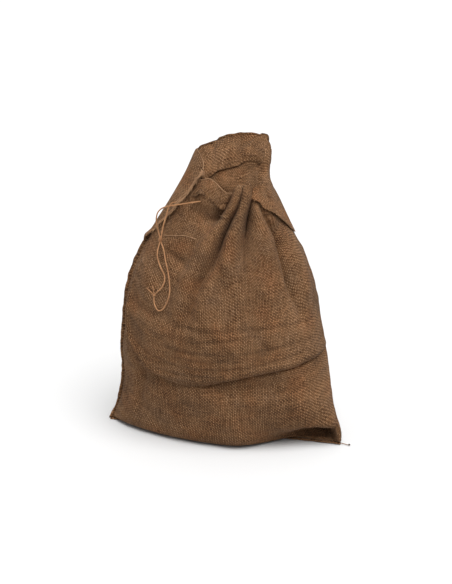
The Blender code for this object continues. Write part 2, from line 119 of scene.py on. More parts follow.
# Free edges of the wings, as (station, share), and the lower edge of the hem inside the hood
LEFT_WING_EDGE = [
    (9.62, 0.020), (9.80, 0.050), (10.1, 0.085), (10.40, 0.115), (10.75, 0.158), (11.3, 0.192),
    (12.10, 0.228), (12.30, 0.228), (12.65, 0.208), (12.95, 0.165), (13.4, 0.085), (13.58, 0.035),
]
RIGHT_WING_EDGE = [
    (9.90, 1.000), (10.04, 0.923), (10.18, 0.895), (10.41, 0.845), (10.55, 0.795), (10.78, 0.732),
    (10.90, 0.700), (11.02, 0.650), (11.16, 0.614), (11.34, 0.584), (11.60, 0.580), (12.05, 0.598),
    (12.3, 0.610),
]
BACK_HEM_EDGE = [
    (0.06, 12.1), (0.20, 12.0), (0.29, 12.02), (0.35, 12.23), (0.377, 12.28), (0.414, 12.32),
    (0.468, 12.37), (0.514, 12.42), (0.555, 12.51), (0.595, 12.58), (0.68, 12.62), (0.80, 12.50),
    (0.96, 12.4),
]
# How far that hem stands off the back wall, and how much more or less at its lower edge
HEM_STAND = [(0.06, 0.0042), (0.30, 0.0044), (0.318, 0.0088), (0.60, 0.0066), (0.96, 0.0052)]
HEM_FLARE = [(0.06, 0.9), (0.29, 0.7), (0.34, 0.95), (0.46, 0.90), (0.52, 0.40), (0.60, 0.28), (0.96, 0.28)]

# Folds of the walls: kind, and a line of (share of the width, station, height and half width in mm)
FRONT_FOLDS = [
    # the belly, widest below its middle, hangs over its main crease
    ("ridge", [
        (0.06, 7.5, 0, 50), (0.2, 7.3, 6, 50), (0.5, 7.05, 10, 55), (0.8, 7.3, 8, 50), (0.97, 7.4, 0, 50),
    ]),
    ("lip", [
        (0.075, 9.3, 0, 10), (0.075, 8.6, 5, 10), (0.075, 7.8, 9, 10), (0.085, 7, 11, 11),
        (0.105, 6.58, 10, 13), (0.173, 6.06, 11, 16), (0.209, 5.64, 11, 19), (0.25, 5.24, 11, 21),
        (0.323, 4.87, 11, 23), (0.377, 4.8, 10, 23), (0.445, 4.99, 11, 23), (0.514, 5.36, 12, 22),
        (0.582, 5.69, 12, 22), (0.664, 5.88, 12, 21), (0.745, 6.02, 11, 20), (0.809, 6.16, 10, 18),
        (0.9, 6.24, 7, 16), (0.985, 6.28, 4, 14),
    ]),
    ("slit", [
        (0.105, 6.58, 0, 4.5), (0.173, 6.06, 7, 4.5), (0.209, 5.64, 8, 4.5), (0.25, 5.24, 6, 4.5),
        (0.31, 4.9, 0, 4.5),
    ]),
    ("slit", [
        (0.39, 4.82, 0, 4.5), (0.445, 4.99, 5, 4.5), (0.514, 5.36, 8, 4.5), (0.582, 5.69, 8, 4.5),
        (0.664, 5.88, 7, 4.5), (0.745, 6.02, 7, 4.5), (0.809, 6.16, 7, 4.5), (0.97, 6.27, 2, 4.5),
    ]),
    # pleats below the drawn neck
    ("tube", [
        (0.468, 12.4, 16, 8.8), (0.468, 11.86, 16, 8.8), (0.468, 11.53, 16, 8.8), (0.462, 11.16, 16, 9.2),
        (0.453, 10.92, 16, 9.8), (0.436, 10.69, 16, 10.8), (0.42, 10.3, 15, 13), (0.402, 9.99, 15, 15),
        (0.382, 9.65, 14, 16.5), (0.362, 9.01, 13, 17.5), (0.345, 8.3, 13, 19), (0.335, 7.9, 10, 20),
        (0.335, 7.45, 0, 24),
    ]),
    ("tube", [
        (0.532, 12.4, 18, 13), (0.532, 11.9, 18, 13), (0.527, 11.58, 18, 13), (0.523, 11.2, 18, 13.2),
        (0.518, 10.92, 18, 13.4), (0.502, 10.64, 18, 13.6), (0.494, 10.3, 17, 14.2),
        (0.488, 9.99, 16, 15), (0.487, 9.47, 12, 17), (0.5, 9.1, 6, 21), (0.52, 8.7, 0, 26),
    ]),
    ("slit", [
        (0.499, 12.4, 8, 2.8), (0.497, 11.86, 10, 2.8), (0.494, 11.44, 14, 3.4), (0.489, 11.11, 19, 4.5),
        (0.48, 10.83, 25, 6), (0.466, 10.55, 28, 7.2), (0.45, 10.2, 30, 8.5), (0.44, 9.85, 30, 9.5),
        (0.433, 9.5, 26, 10.5), (0.42, 9.15, 17, 11.5), (0.402, 8.85, 8, 13), (0.39, 8.4, 0, 15),
    ]),
    ("slit", [
        (0.585, 12, 12, 6.5), (0.578, 11.72, 14, 6.5), (0.57, 11.34, 18, 7), (0.563, 11.05, 26, 8),
        (0.559, 10.8, 36, 9.5), (0.557, 10.46, 40, 10.5), (0.551, 10.08, 28, 11.5), (0.546, 9.71, 16, 13),
        (0.541, 9.3, 8, 16), (0.535, 8.9, 0, 22),
    ]),
    ("ridge", [
        (0.445, 9.1, 0, 14), (0.436, 8.75, 8, 14), (0.418, 8.17, 11, 15), (0.405, 7.7, 6, 18),
        (0.395, 7.3, 0, 20),
    ]),
    ("valley", [(0.4, 9, 0, 8), (0.391, 8.59, 9, 8), (0.377, 7.93, 8, 9), (0.364, 7.3, 0, 10)]),
    ("ridge", [
        (0.583, 11.3, 6, 12), (0.597, 10.95, 11, 14), (0.622, 10.5, 13, 17), (0.642, 10.08, 12, 20),
        (0.648, 9.45, 8, 26), (0.65, 8.8, 0, 30),
    ]),
    ("slit", [
        (0.62, 11.1, 4, 8), (0.655, 10.8, 11, 9), (0.705, 10.4, 16, 10), (0.738, 9.99, 18, 10),
        (0.736, 9.45, 18, 10), (0.736, 8.9, 17, 10), (0.747, 8.4, 13, 11), (0.768, 7.84, 8, 12),
        (0.785, 7.4, 0, 13),
    ]),
    ("ridge", [
        (0.86, 10.1, 0, 24), (0.85, 9.65, 11, 25), (0.835, 9.15, 16, 27), (0.825, 8.54, 15, 28),
        (0.82, 7.98, 7, 30), (0.81, 7.5, 0, 32),
    ]),
    ("slit", [
        (0.432, 11.7, 10, 5), (0.428, 11.3, 13, 6.5), (0.418, 11.02, 17, 9.5), (0.404, 10.83, 16, 12),
        (0.382, 10.66, 10, 14), (0.36, 10.6, 0, 16),
    ]),
    ("valley", [
        (0.41, 10.8, 4, 14), (0.395, 10.68, 16, 14), (0.365, 10.6, 18, 15), (0.327, 10.6, 13, 16),
        (0.28, 10.65, 7, 17), (0.23, 10.7, 0, 18),
    ]),
    ("ridge", [
        (0.23, 12, 6, 22), (0.28, 11.66, 14, 24), (0.312, 11.36, 16, 24), (0.325, 11.05, 10, 22),
        (0.33, 10.85, 0, 20),
    ]),
    # hollows and swells of the upper left
    ("valley", [
        (0.18, 9.65, 0, 9), (0.215, 9.56, 6, 9), (0.268, 9.43, 8, 10), (0.323, 9.24, 5, 12),
        (0.36, 9.12, 0, 13),
    ]),
    ("ridge", [(0.13, 9.4, 0, 22), (0.165, 8.9, 9, 24), (0.205, 8.5, 9, 26), (0.23, 8, 0, 28)]),
    ("valley", [
        (0.09, 7.95, 0, 10), (0.15, 7.78, 5, 10), (0.223, 7.72, 7, 12), (0.295, 7.68, 5, 13),
        (0.35, 7.72, 0, 14),
    ]),
    ("valley", [
        (0.2, 5.7, 0, 12), (0.2, 5, 8, 14), (0.19, 4.3, 11, 16), (0.186, 3.6, 9, 18), (0.2, 2.9, 4, 18),
        (0.205, 2.3, 0, 18),
    ]),
    # shallow creases across the belly
    ("arc", [
        (0.2, 7.72, 0, 6), (0.295, 7.61, 3, 7), (0.368, 7.47, 4, 7), (0.459, 7.42, 4.2, 7),
        (0.536, 7.47, 4.2, 7), (0.641, 7.51, 3.8, 7), (0.773, 7.56, 3.6, 7), (0.932, 7.56, 0, 6),
    ]),
    ("arc", [
        (0.12, 7.5, 0, 6), (0.15, 7.31, 2.4, 6), (0.275, 6.83, 4, 7), (0.4, 6.67, 4, 7),
        (0.506, 6.67, 3.4, 7), (0.638, 6.83, 3.6, 7), (0.763, 6.95, 3, 7), (0.938, 6.91, 0, 6),
    ]),
    ("arc", [
        (0.125, 6.87, 0, 6), (0.263, 6.31, 4.4, 7), (0.381, 6.03, 4.6, 7), (0.506, 6.11, 3.8, 8),
        (0.631, 6.35, 4.4, 7), (0.756, 6.55, 3.6, 7), (0.938, 6.55, 0, 6),
    ]),
    ("arc", [(0.231, 7.19, 0, 6), (0.381, 7.07, 2.6, 6), (0.506, 7.15, 2.8, 6), (0.638, 7.31, 0, 6)]),
    ("arc", [(0.19, 6.6, 0, 5), (0.32, 6.42, 2.6, 5), (0.45, 6.38, 2.6, 5), (0.56, 6.52, 0, 5)]),
    ("arc", [(0.22, 5.95, 0, 5), (0.32, 5.68, 3, 6), (0.43, 5.66, 3, 6), (0.54, 5.92, 0, 6)]),
    ("arc", [(0.27, 5.5, 0, 6), (0.36, 5.26, 3, 6), (0.44, 5.4, 3, 6), (0.52, 5.75, 0, 6)]),
    ("valley", [
        (0.6, 4.5, 0, 6), (0.64, 4.62, 3, 6), (0.681, 4.71, 3.8, 6), (0.75, 4.79, 2, 7),
        (0.8, 4.85, 0, 7),
    ]),
    ("ridge", [(0.3, 4.3, 0, 14), (0.37, 4.35, 6, 12), (0.44, 4.55, 4, 12), (0.5, 4.8, 0, 14)]),
    ("ridge", [
        (0.3, 4, 0, 20), (0.419, 4.07, 5, 20), (0.537, 4.35, 6, 20), (0.663, 4.15, 5, 20),
        (0.781, 4.23, 0, 20),
    ]),
]
BACK_FOLDS = [
    ("lip", [
        (0.05, 6, 0, 20), (0.2, 5.3, 5, 22), (0.4, 4.8, 8, 26), (0.6, 5, 8, 26), (0.8, 5.6, 5, 22),
        (0.95, 6.1, 0, 20),
    ]),
    ("ridge", [
        (0.3, 11.9, 4, 16), (0.31, 11, 8, 18), (0.3, 10, 7, 22), (0.27, 9, 3, 28), (0.25, 8.2, 0, 30),
    ]),
    ("slit", [
        (0.42, 11.6, 3, 12), (0.43, 10.8, 9, 13), (0.42, 9.9, 8, 16), (0.4, 9, 3, 22), (0.39, 8.3, 0, 30),
    ]),
    ("tube", [(0.55, 11.8, 4, 16), (0.56, 10.9, 8, 17), (0.57, 10, 6, 22), (0.6, 8.9, 0, 30)]),
    ("slit", [
        (0.7, 11.4, 3, 12), (0.71, 10.6, 8, 13), (0.74, 9.7, 7, 16), (0.77, 8.8, 2, 22),
        (0.79, 8.2, 0, 30),
    ]),
    ("arc", [(0.15, 7.4, 0, 7), (0.35, 6.9, 3, 8), (0.6, 7, 3, 8), (0.85, 7.5, 0, 7)]),
    ("arc", [(0.2, 6.5, 0, 7), (0.4, 6.1, 3.5, 8), (0.65, 6.3, 3.5, 8), (0.88, 6.7, 0, 7)]),
    ("valley", [(0.47, 12.2, 0, 6), (0.465, 12.6, 3, 6), (0.455, 13.3, 3.5, 6), (0.44, 14, 2, 6)]),
    ("ridge", [(0.52, 12.3, 0, 6), (0.515, 12.8, 3.5, 6), (0.51, 13.4, 3.5, 6), (0.5, 14, 2, 6)]),
    ("valley", [
        (0.54, 12.4, 0, 7), (0.568, 12.56, 5, 7), (0.595, 12.89, 9, 8), (0.636, 13.1, 9, 8),
        (0.741, 13.63, 6, 9), (0.8, 13.95, 0, 10),
    ]),
    ("ridge", [
        (0.535, 12.55, 0, 4), (0.6, 13.05, 5, 4), (0.68, 13.45, 6, 4.5), (0.76, 13.8, 5, 4.5),
        (0.8, 14, 0, 5),
    ]),
    ("ridge", [(0.5, 12.7, 0, 7), (0.53, 12.95, 7, 8), (0.575, 13.25, 6, 9), (0.63, 13.6, 0, 10)]),
    ("ridge", [(0.56, 12, 2, 10), (0.62, 12.35, 7, 10), (0.72, 12.5, 7, 11), (0.84, 12.4, 3, 12)]),
]

# Drawstring, as in part.py: where each strand leaves the cloth, and its hanging route
PULL_AXIS = np.array((-0.985, -0.100, -0.125))
PULL_AXIS /= np.linalg.norm(PULL_AXIS)
INNER_REACH = 0.066
EXIT_A = np.array((-0.0604, -0.0591, 0.5972))
EXIT_B = np.array((-0.1225, -0.0285, 0.5855))
SLIP_KNOT = np.array((-0.160, -0.068, 0.504))
SLIP_DIRECTION = np.array((0.0, -0.50, -0.86))
SLIP_DIRECTION /= np.linalg.norm(SLIP_DIRECTION)
END_KNOT = np.array((-0.175, -0.1145, 0.382))
END_KNOT_RADIUS = 0.0044
STRAND_A_UPPER = [
    (-0.139, -0.067, 0.587), (-0.149, -0.067, 0.5845), (-0.159, -0.067, 0.579), (-0.166, -0.067, 0.570),
    (-0.169, -0.066, 0.557), (-0.169, -0.064, 0.545), (-0.167, -0.062, 0.532), (-0.164, -0.0625, 0.519),
]
STRAND_A_LOWER = [
    (-0.1655, -0.078, 0.486), (-0.1675, -0.085, 0.471), (-0.163, -0.093, 0.454), (-0.156, -0.104, 0.441),
    (-0.150, -0.112, 0.430), (-0.150, -0.119, 0.418), (-0.156, -0.1205, 0.404), (-0.164, -0.119, 0.395),
]
STRAND_B_UPPER = [
    (-0.1375, -0.031, 0.579), (-0.143, -0.034, 0.569), (-0.147, -0.041, 0.555), (-0.153, -0.050, 0.537),
    (-0.1565, -0.058, 0.521),
]
STRAND_B_LOWER = [
    (-0.152, -0.084, 0.484), (-0.148, -0.096, 0.463), (-0.142, -0.110, 0.441), (-0.1385, -0.122, 0.420),
    (-0.137, -0.129, 0.405), (-0.139, -0.134, 0.387), (-0.146, -0.1355, 0.367), (-0.156, -0.133, 0.352),
    (-0.166, -0.1285, 0.349), (-0.173, -0.122, 0.358), (-0.1755, -0.117, 0.369),
]
CUT_ENDS = [(-0.190, -0.106, 0.394), (-0.1775, -0.113, 0.399)]
# The run of the drawstring inside the hem, and the ways into it past both side edges
CASING_RUN = [
    (0.900, 12.78), (0.83, 12.98), (0.65, 13.12), (0.50, 13.15), (0.35, 13.15),
    (0.22, 13.10), (0.14, 12.98), (0.095, 12.80),
]
HELD_RIGHT = [(0.58, 11.35), (0.70, 11.40), (0.82, 11.55), (0.895, 11.90), (0.912, 12.35)]
HELD_LEFT = [(0.105, 12.45), (0.12, 12.15), (0.15, 11.80), (0.19, 11.55), (0.24, 11.38), (0.29, 11.28)]


def curve(points, s):
    """Points at stations s of a smooth curve through the points."""
    pts = np.array(points, float)
    s = np.asarray(s, float)
    last = len(pts) - 1
    ends = np.vstack([2 * pts[0] - pts[1], pts, 2 * pts[-1] - pts[-2]])
    i = np.clip(s.astype(int), 0, last - 1)
    f = (s - i)[..., None]
    p0, p1, p2, p3 = ends[i], ends[i + 1], ends[i + 2], ends[i + 3]
    return 0.5 * (
        2 * p1 + (p2 - p0) * f + (2 * p0 - 5 * p1 + 4 * p2 - p3) * f ** 2
        + (3 * p1 - p0 - 3 * p2 + p3) * f ** 3
    )


def fine_curve(points, steps):
    """The same curve, with so many steps from each point to the next."""
    last = len(points) - 1
    return curve(points, np.linspace(0, last, steps * last + 1))


def unit(v):
    return v / np.maximum(np.linalg.norm(v, axis=-1, keepdims=True), 1e-12)


def smoothstep(low, high, value):
    t = np.clip((value - low) / (high - low), 0.0, 1.0)
    return t * t * (3 - 2 * t)


def table(points, x):
    data = np.array(points, float)
    return np.interp(x, data[:, 0], data[:, 1])


def soft_table(points, x, reach=SHARE_REACH):
    """The same table, with its corners rounded."""
    steps = np.linspace(-reach, reach, 5)
    return sum(table(points, np.asarray(x) + step) for step in steps) / len(steps)


def wall(ridge, u, s):
    """The loft between the side edges and a ridge, at a share of the width and a station."""
    left = curve(LEFT_EDGE, s)
    right = curve(RIGHT_EDGE, s)
    share = ((1 - np.cos(np.pi * u)) / 2)[..., None]
    round_part = np.sin(np.pi * u)[..., None]
    stand_out = curve(ridge, s) - (left + right) / 2
    stand_out = stand_out * np.concatenate([round_part, np.ones_like(round_part), round_part], -1)
    return left + (right - left) * share + stand_out * round_part


def front_base(u, s):
    u, s = np.broadcast_arrays(np.asarray(u, float), np.asarray(s, float))
    point = wall(FRONT_RIDGE, u, s)
    ear = smoothstep(0.50, 0.84, u) * (1 - smoothstep(0.85, 0.95, u)) * (1 - smoothstep(2.4, 4.0, s))
    share = ((1 - np.cos(np.pi * u)) / 2)[..., None]
    zero = np.zeros_like(s)
    seam = curve(LEFT_EDGE, zero) * (1 - share) + curve(RIGHT_EDGE, zero) * share
    tuck = curve(EAR_TUCK, np.minimum(s, 3.0))
    tuck[..., 2] *= 0.50 + 0.50 * smoothstep(0.62, 0.82, u)
    tucked = seam + tuck
    above = wall(FRONT_RIDGE, u, np.maximum(s, 3.0)) - wall(FRONT_RIDGE, u, zero + 3.0)
    tucked[..., 2] += above[..., 2]
    point = point + (tucked - point) * ear[..., None]
    point[..., 2] = np.maximum(point[..., 2], FLOOR)
    return point


def back_base(u, s):
    u, s = np.broadcast_arrays(np.asarray(u, float), np.asarray(s, float))
    point = wall(BACK_RIDGE, u, s)
    # the back of the neck falls in towards the drawn mouth
    middle = smoothstep(0.34, 0.43, u)
    rise = smoothstep(10.3, 11.9, s) * (1 - middle) + smoothstep(9.3, 11.3, s) * middle
    dent = NECK_DENT * rise * (1 - smoothstep(11.4, 13.8, s))
    dent = dent * smoothstep(0.03, 0.28, u) * (1 - smoothstep(0.80, 0.99, u))
    point[..., 1] -= dent
    point[..., 2] = np.maximum(point[..., 2], FLOOR)
    return point


def normals_of(grid, away):
    """Unit normals of a grid; away is 1 where its columns run left to right seen from outside."""
    along = np.gradient(grid, axis=0)
    across = np.gradient(grid, axis=1)
    return unit(np.cross(across, along) * away)


def fold_height(grid, normal, line, surface, kind, away):
    """Height of one fold over a grid of points, along the grid's normals."""
    path = fine_curve(np.array(line) * (1, 1, 0.001, 0.001), 12)
    spine = surface(path[:, 0], path[:, 1])
    flat = grid.reshape(-1, 3)
    best = np.full(len(flat), 1e9)
    index = np.zeros(len(flat), int)
    for k, point in enumerate(spine):
        d = ((flat - point) ** 2).sum(-1)
        closer = d < best
        best[closer] = d[closer]
        index[closer] = k
    height = path[index, 2]
    width = np.maximum(path[index, 3], 1e-4)
    q = np.sqrt(best) / width
    if kind == "ridge":
        shape = np.exp(-q ** 2)
    elif kind == "tube":
        shape = np.exp(-0.75 * q ** 3.2)
    elif kind == "valley":
        shape = -np.exp(-q ** 2)
    elif kind == "slit":
        shape = -np.exp(-1.3 * q ** 1.35)
    else:
        ahead = np.gradient(spine, axis=0)[index]
        side = np.einsum("ij,ij->i", np.cross(ahead, flat - spine[index]), normal.reshape(-1, 3))
        q = np.sign(side * away) * q
        if kind == "arc":
            shape = 0.9 * q * np.exp(-q ** 2 * 0.9) - 0.4 * np.exp(-(q * 1.6) ** 2)
        else:
            shape = 1.5 * q * np.exp(-q ** 2 * 0.8) - 0.55 * np.exp(-(q * 2.6) ** 2)
            shape = np.where(q < 0, shape * 0.55, shape)
    return (height * shape).reshape(grid.shape[:2])


def distances(path):
    """How far along a path each of its points is."""
    return np.concatenate([[0], np.cumsum(np.linalg.norm(np.diff(path, axis=0), axis=1))])


def at_distance(spots, run, values):
    """Values along a path at the given spots, from the distances of its points."""
    return np.stack([np.interp(spots, run, column) for column in values.T], -1)


def smooth_noise(points, scale, seed):
    """Smooth random values over points, from a few seeded waves; scale is in metres."""
    rng = np.random.default_rng(seed)
    total = np.zeros(points.shape[:-1])
    for _ in range(14):
        direction = unit(rng.normal(size=3))
        pitch = scale * rng.uniform(0.6, 1.6)
        total += np.sin(points @ direction * math.tau / pitch + rng.uniform(0, math.tau))
    return total / math.sqrt(7)


def folded_wall(surface, away, u_axis, s_axis, folds, seed):
    u, s = np.meshgrid(u_axis, s_axis)
    grid = surface(u, s)
    normal = normals_of(grid, away)
    height = np.zeros(grid.shape[:2])
    for kind, line in folds:
        height += fold_height(grid, normal, line, surface, kind, away)
    calm = smoothstep(0.0, 0.05, u) * smoothstep(0.0, 0.05, 1 - u)
    for k, (high, scale) in enumerate(WAVINESS):
        height += high * smooth_noise(grid, scale, seed + k)
    height *= calm * smoothstep(0.004, 0.03, grid[..., 2])
    grid = grid + height[..., None] * normal
    grid[..., 2] = np.maximum(grid[..., 2], FLOOR)
    return grid, normals_of(grid, away)


def sampler(grid, normal, u_axis, s_axis):
    """Looks up points and normals of a finished wall at any (u, s)."""

    def look(u, s):
        u, s = np.broadcast_arrays(np.asarray(u, float), np.asarray(s, float))
        c = np.clip(np.interp(u, u_axis, np.arange(len(u_axis))), 0, len(u_axis) - 1.001)
        r = np.clip(np.interp(s, s_axis, np.arange(len(s_axis))), 0, len(s_axis) - 1.001)
        c0, r0 = c.astype(int), r.astype(int)
        cf, rf = (c - c0)[..., None], (r - r0)[..., None]

        def blend(a):
            low = a[r0, c0] * (1 - cf) + a[r0, c0 + 1] * cf
            high = a[r0 + 1, c0] * (1 - cf) + a[r0 + 1, c0 + 1] * cf
            return low * (1 - rf) + high * rf

        return blend(grid), unit(blend(normal))

    return look


# Materials


def new_material(name):
    mat = bpy.data.materials.new(name)
    mat.use_nodes = True
    return mat, mat.node_tree, mat.node_tree.nodes["Principled BSDF"]


def node(tree, kind, **values):
    made = tree.nodes.new(kind)
    for key, value in values.items():
        setattr(made, key, value)
    return made


def feed(tree, socket, value):
    if isinstance(value, (int, float)):
        socket.default_value = value
    elif value is not None:
        tree.links.new(value, socket)


def maths(tree, operation, a, b=None, c=None):
    made = node(tree, "ShaderNodeMath", operation=operation)
    for socket, value in zip(made.inputs, (a, b, c)):
        feed(tree, socket, value)
    return made.outputs[0]


def noise(tree, vector, scale, detail=2.0, output="Fac"):
    made = node(tree, "ShaderNodeTexNoise")
    made.inputs["Scale"].default_value = scale
    made.inputs["Detail"].default_value = detail
    tree.links.new(vector, made.inputs["Vector"])
    return made.outputs[output]


def ramp(tree, value, stops):
    made = node(tree, "ShaderNodeValToRGB")
    elements = made.color_ramp.elements
    for k, (position, colour) in enumerate(stops):
        element = elements[k] if k < 2 else elements.new(position)
        element.position = position
        element.color = (*colour, 1)
    tree.links.new(value, made.inputs[0])
    return made.outputs[0]


def cloth_finish(tree, shader, sheen, height, strength, distance):
    """A dry surface with a bump."""
    shader.inputs["Roughness"].default_value = 0.93
    shader.inputs["Specular IOR Level"].default_value = 0.12
    shader.inputs["Sheen Weight"].default_value = sheen
    shader.inputs["Sheen Roughness"].default_value = 0.6
    shader.inputs["Sheen Tint"].default_value = (0.95, 0.80, 0.62, 1)
    bump = node(tree, "ShaderNodeBump")
    bump.inputs["Strength"].default_value = strength
    bump.inputs["Distance"].default_value = distance
    tree.links.new(height, bump.inputs["Height"])
    tree.links.new(bump.outputs[0], shader.inputs["Normal"])


def weave_material(name, painted_light=1.0):
    """Open plain weave of jute yarns, with painted highlights on the raised yarns and painted shade in the
    gaps between them; the UV map is in metres of cloth.
    """
    # painted_light scales the whole colour, for a lighter copy of the same cloth that stands in for more
    # light falling on it
    mat, tree, shader = new_material(name)
    times = functools.partial(maths, tree, "MULTIPLY")
    times_plus = functools.partial(maths, tree, "MULTIPLY_ADD")
    uv = node(tree, "ShaderNodeUVMap", uv_map="Cloth").outputs[0]
    split = node(tree, "ShaderNodeSeparateXYZ")
    tree.links.new(uv, split.inputs[0])
    drift = node(tree, "ShaderNodeSeparateColor")
    tree.links.new(noise(tree, uv, 22.0, 2.0, "Color"), drift.inputs[0])

    def yarns(axis, spacing):
        """The place across the yarns, counted in yarns, and the cosine and sine of its half turns."""
        place = times(times_plus(drift.outputs[axis], 1.6 * spacing, split.outputs[axis]), 1 / spacing)
        turn = times(place, math.pi)
        return place, maths(tree, "COSINE", turn), maths(tree, "SINE", turn)

    def yarn_tone(across, along, seed):
        place = node(tree, "ShaderNodeCombineXYZ")
        tree.links.new(times(maths(tree, "ROUND", across), 3.7), place.inputs[0])
        tree.links.new(times(along, 0.11), place.inputs[1])
        place.inputs[2].default_value = seed
        return noise(tree, place.outputs[0], 1.0, 2.5)

    a, cos_a, sin_a = yarns(0, WARP)
    b, cos_b, sin_b = yarns(1, WEFT)
    # which yarn passes over at each crossing; the twist of the yarns slants it
    over = times_plus(times(sin_a, sin_b), -0.45, times(cos_a, cos_b))

    def yarn_height(cosine, above, tone, least):
        lifted = times(times(cosine, cosine), times_plus(over, above, 0.5))
        return times(lifted, times_plus(tone, 1.0, least))

    warp_tone = yarn_tone(a, b, 3.0)
    weft_tone = yarn_tone(b, a, 11.0)
    warp_high = yarn_height(cos_a, 0.5, warp_tone, 0.5)
    weft_high = yarn_height(cos_b, -0.5, weft_tone, 0.35)
    height = maths(tree, "MAXIMUM", warp_high, weft_high)
    tone = node(tree, "ShaderNodeMix", data_type="FLOAT")
    feed(tree, tone.inputs[0], maths(tree, "GREATER_THAN", warp_high, weft_high))
    feed(tree, tone.inputs[2], weft_tone)
    feed(tree, tone.inputs[3], warp_tone)
    fibre = noise(tree, uv, 700.0, 3.0)
    slub = noise(tree, uv, 190.0, 2.0)
    patch = noise(tree, uv, 8.0, 3.0)

    # colour: the raised yarns are painted lighter (painted highlight) and the gaps between them painted
    # dark (painted shade), varied by the yarns' own tone, fibres, slubs and patches
    value = -0.73
    for share, part in ((0.62, height), (0.12, over), (0.42, tone.outputs[0]),
                        (0.30, fibre), (0.42, slub), (0.34, patch)):
        value = times_plus(part, share, value)
    # the near-black stop is the painted shade in the gaps, the lightest stop the painted highlight on the
    # raised yarns
    colour = ramp(tree, value, [
        (0.02, (0.026 * painted_light, 0.0110 * painted_light, 0.0044 * painted_light)),
        (1.0, (0.440 * painted_light, 0.268 * painted_light, 0.153 * painted_light)),
        (0.42, (0.190 * painted_light, 0.095 * painted_light, 0.042 * painted_light)),
    ])
    # some of the cloth is redder, some greyer
    cast = ramp(tree, noise(tree, uv, 14.0, 3.0), [
        (0.30, (1.08, 0.97, 0.90)), (0.72, (0.95, 1.01, 1.12)), (0.5, (1.0, 1.0, 1.0)),
    ])
    hue = node(tree, "ShaderNodeMix", data_type="RGBA", blend_type="MULTIPLY")
    hue.inputs[0].default_value = 1.0
    tree.links.new(colour, hue.inputs[6])
    tree.links.new(cast, hue.inputs[7])
    tree.links.new(hue.outputs[2], shader.inputs["Base Color"])
    cloth_finish(tree, shader, 0.03, times_plus(fibre, 0.2, height), 0.8, 0.0011)
    return mat


def thread_material(name, dark, light):
    """Spun jute, with lighter and darker fibres."""
    mat, tree, shader = new_material(name)
    place = node(tree, "ShaderNodeTexCoord").outputs["Object"]
    fine = noise(tree, place, 900.0, 4.0)
    broad = noise(tree, place, 40.0)
    value = maths(tree, "MULTIPLY_ADD", broad, 0.6, maths(tree, "ADD", fine, -0.3))
    tree.links.new(ramp(tree, value, [(0.25, dark), (0.75, light)]), shader.inputs["Base Color"])
    cloth_finish(tree, shader, 0.12, fine, 0.5, 0.0004)
    return mat


HESSIAN = weave_material("hessian_weave")
# the turned-out hem and the hem inside the hood: the same hessian painted 6% lighter, as painted light
# where these parts catch more light
HEM = weave_material("hem_weave_painted_lighter", 1.06)
THREAD = thread_material("seam_thread", (0.09, 0.041, 0.017), (0.30, 0.16, 0.08))
TWINE_LOOK = thread_material("jute_twine", (0.16, 0.065, 0.025), (0.47, 0.245, 0.115))
FRAYED = thread_material("frayed_yarn", (0.14, 0.068, 0.030), (0.46, 0.27, 0.145))
# an almost black copy of the thread, for the dark end of the seam's loose thread
DARK_TIP = thread_material("dark_thread_tip", (0.02, 0.015, 0.010), (0.06, 0.045, 0.03))


# Building blocks


def add(name, mesh, look, body, slot, *nodes):
    """Adds a piece, which stands for the given nodes of the CAD."""
    obj = bpy.data.objects.new(name, mesh)
    bpy.context.scene.collection.objects.link(obj)
    mesh.materials.append(look)
    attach(obj, body)
    if nodes:
        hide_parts(*nodes)
    return obj


def make_mesh(name, points, faces, uv=None):
    mesh = bpy.data.meshes.new(name)
    mesh.from_pydata((points - BASE_CENTRE).tolist(), [], faces)
    if uv is not None:
        layer = mesh.uv_layers.new(name="Cloth")
        loops = np.zeros(len(mesh.loops), int)
        mesh.loops.foreach_get("vertex_index", loops)
        layer.data.foreach_set("uv", uv[loops].reshape(-1))
    mesh.polygons.foreach_set("use_smooth", [True] * len(mesh.polygons))
    mesh.update()
    return mesh


def add_parts(name, parts, look, body, slot, *nodes):
    """Adds one piece made of several closed parts."""
    faces = []
    base = 0
    for points, part_faces in parts:
        faces += [tuple(corner + base for corner in face) for face in part_faces]
        base += len(points)
    mesh = make_mesh(name, np.concatenate([points for points, _ in parts]), faces)
    return add(name, mesh, look, body, slot, *nodes)


def add_thread(name, parts, look, *nodes):
    return add_parts(name, parts, look, "sack", "thread", *nodes)


def add_twine(name, parts, body, *nodes):
    return add_parts(name, parts, TWINE_LOOK, body, "twine", *nodes)


def sheet_mesh(name, grid, away, uv, shift=0.0, thickness=CLOTH):
    """A closed sheet from a grid of points, moved out by shift and thickened to the inside."""
    rows, cols = grid.shape[:2]
    normal = normals_of(grid, away)
    shift = np.broadcast_to(shift, (rows, cols))[..., None]
    thickness = np.broadcast_to(thickness, (rows, cols))[..., None]
    outer = grid + shift * normal
    inner = outer - thickness * normal
    points = np.concatenate([outer.reshape(-1, 3), inner.reshape(-1, 3)])
    points[:, 2] = np.maximum(points[:, 2], LEAST_HEIGHT)
    index = np.arange(rows * cols).reshape(rows, cols)
    quad = np.stack([index[:-1, :-1], index[:-1, 1:], index[1:, 1:], index[1:, :-1]], -1).reshape(-1, 4)
    ring = np.concatenate([index[0, :], index[1:, -1], index[-1, -2::-1], index[-2:0:-1, 0]])
    after = np.roll(ring, -1)
    total = rows * cols
    edge = np.stack([after, ring, ring + total, after + total], -1)
    if away < 0:
        quad, edge = quad[:, ::-1], edge[:, ::-1]
    faces = np.concatenate([quad, quad[:, ::-1] + total, edge])
    flat = np.stack([uv[0].reshape(-1), uv[1].reshape(-1)], -1)
    return make_mesh(name, points, faces.tolist(), np.concatenate([flat, flat]))


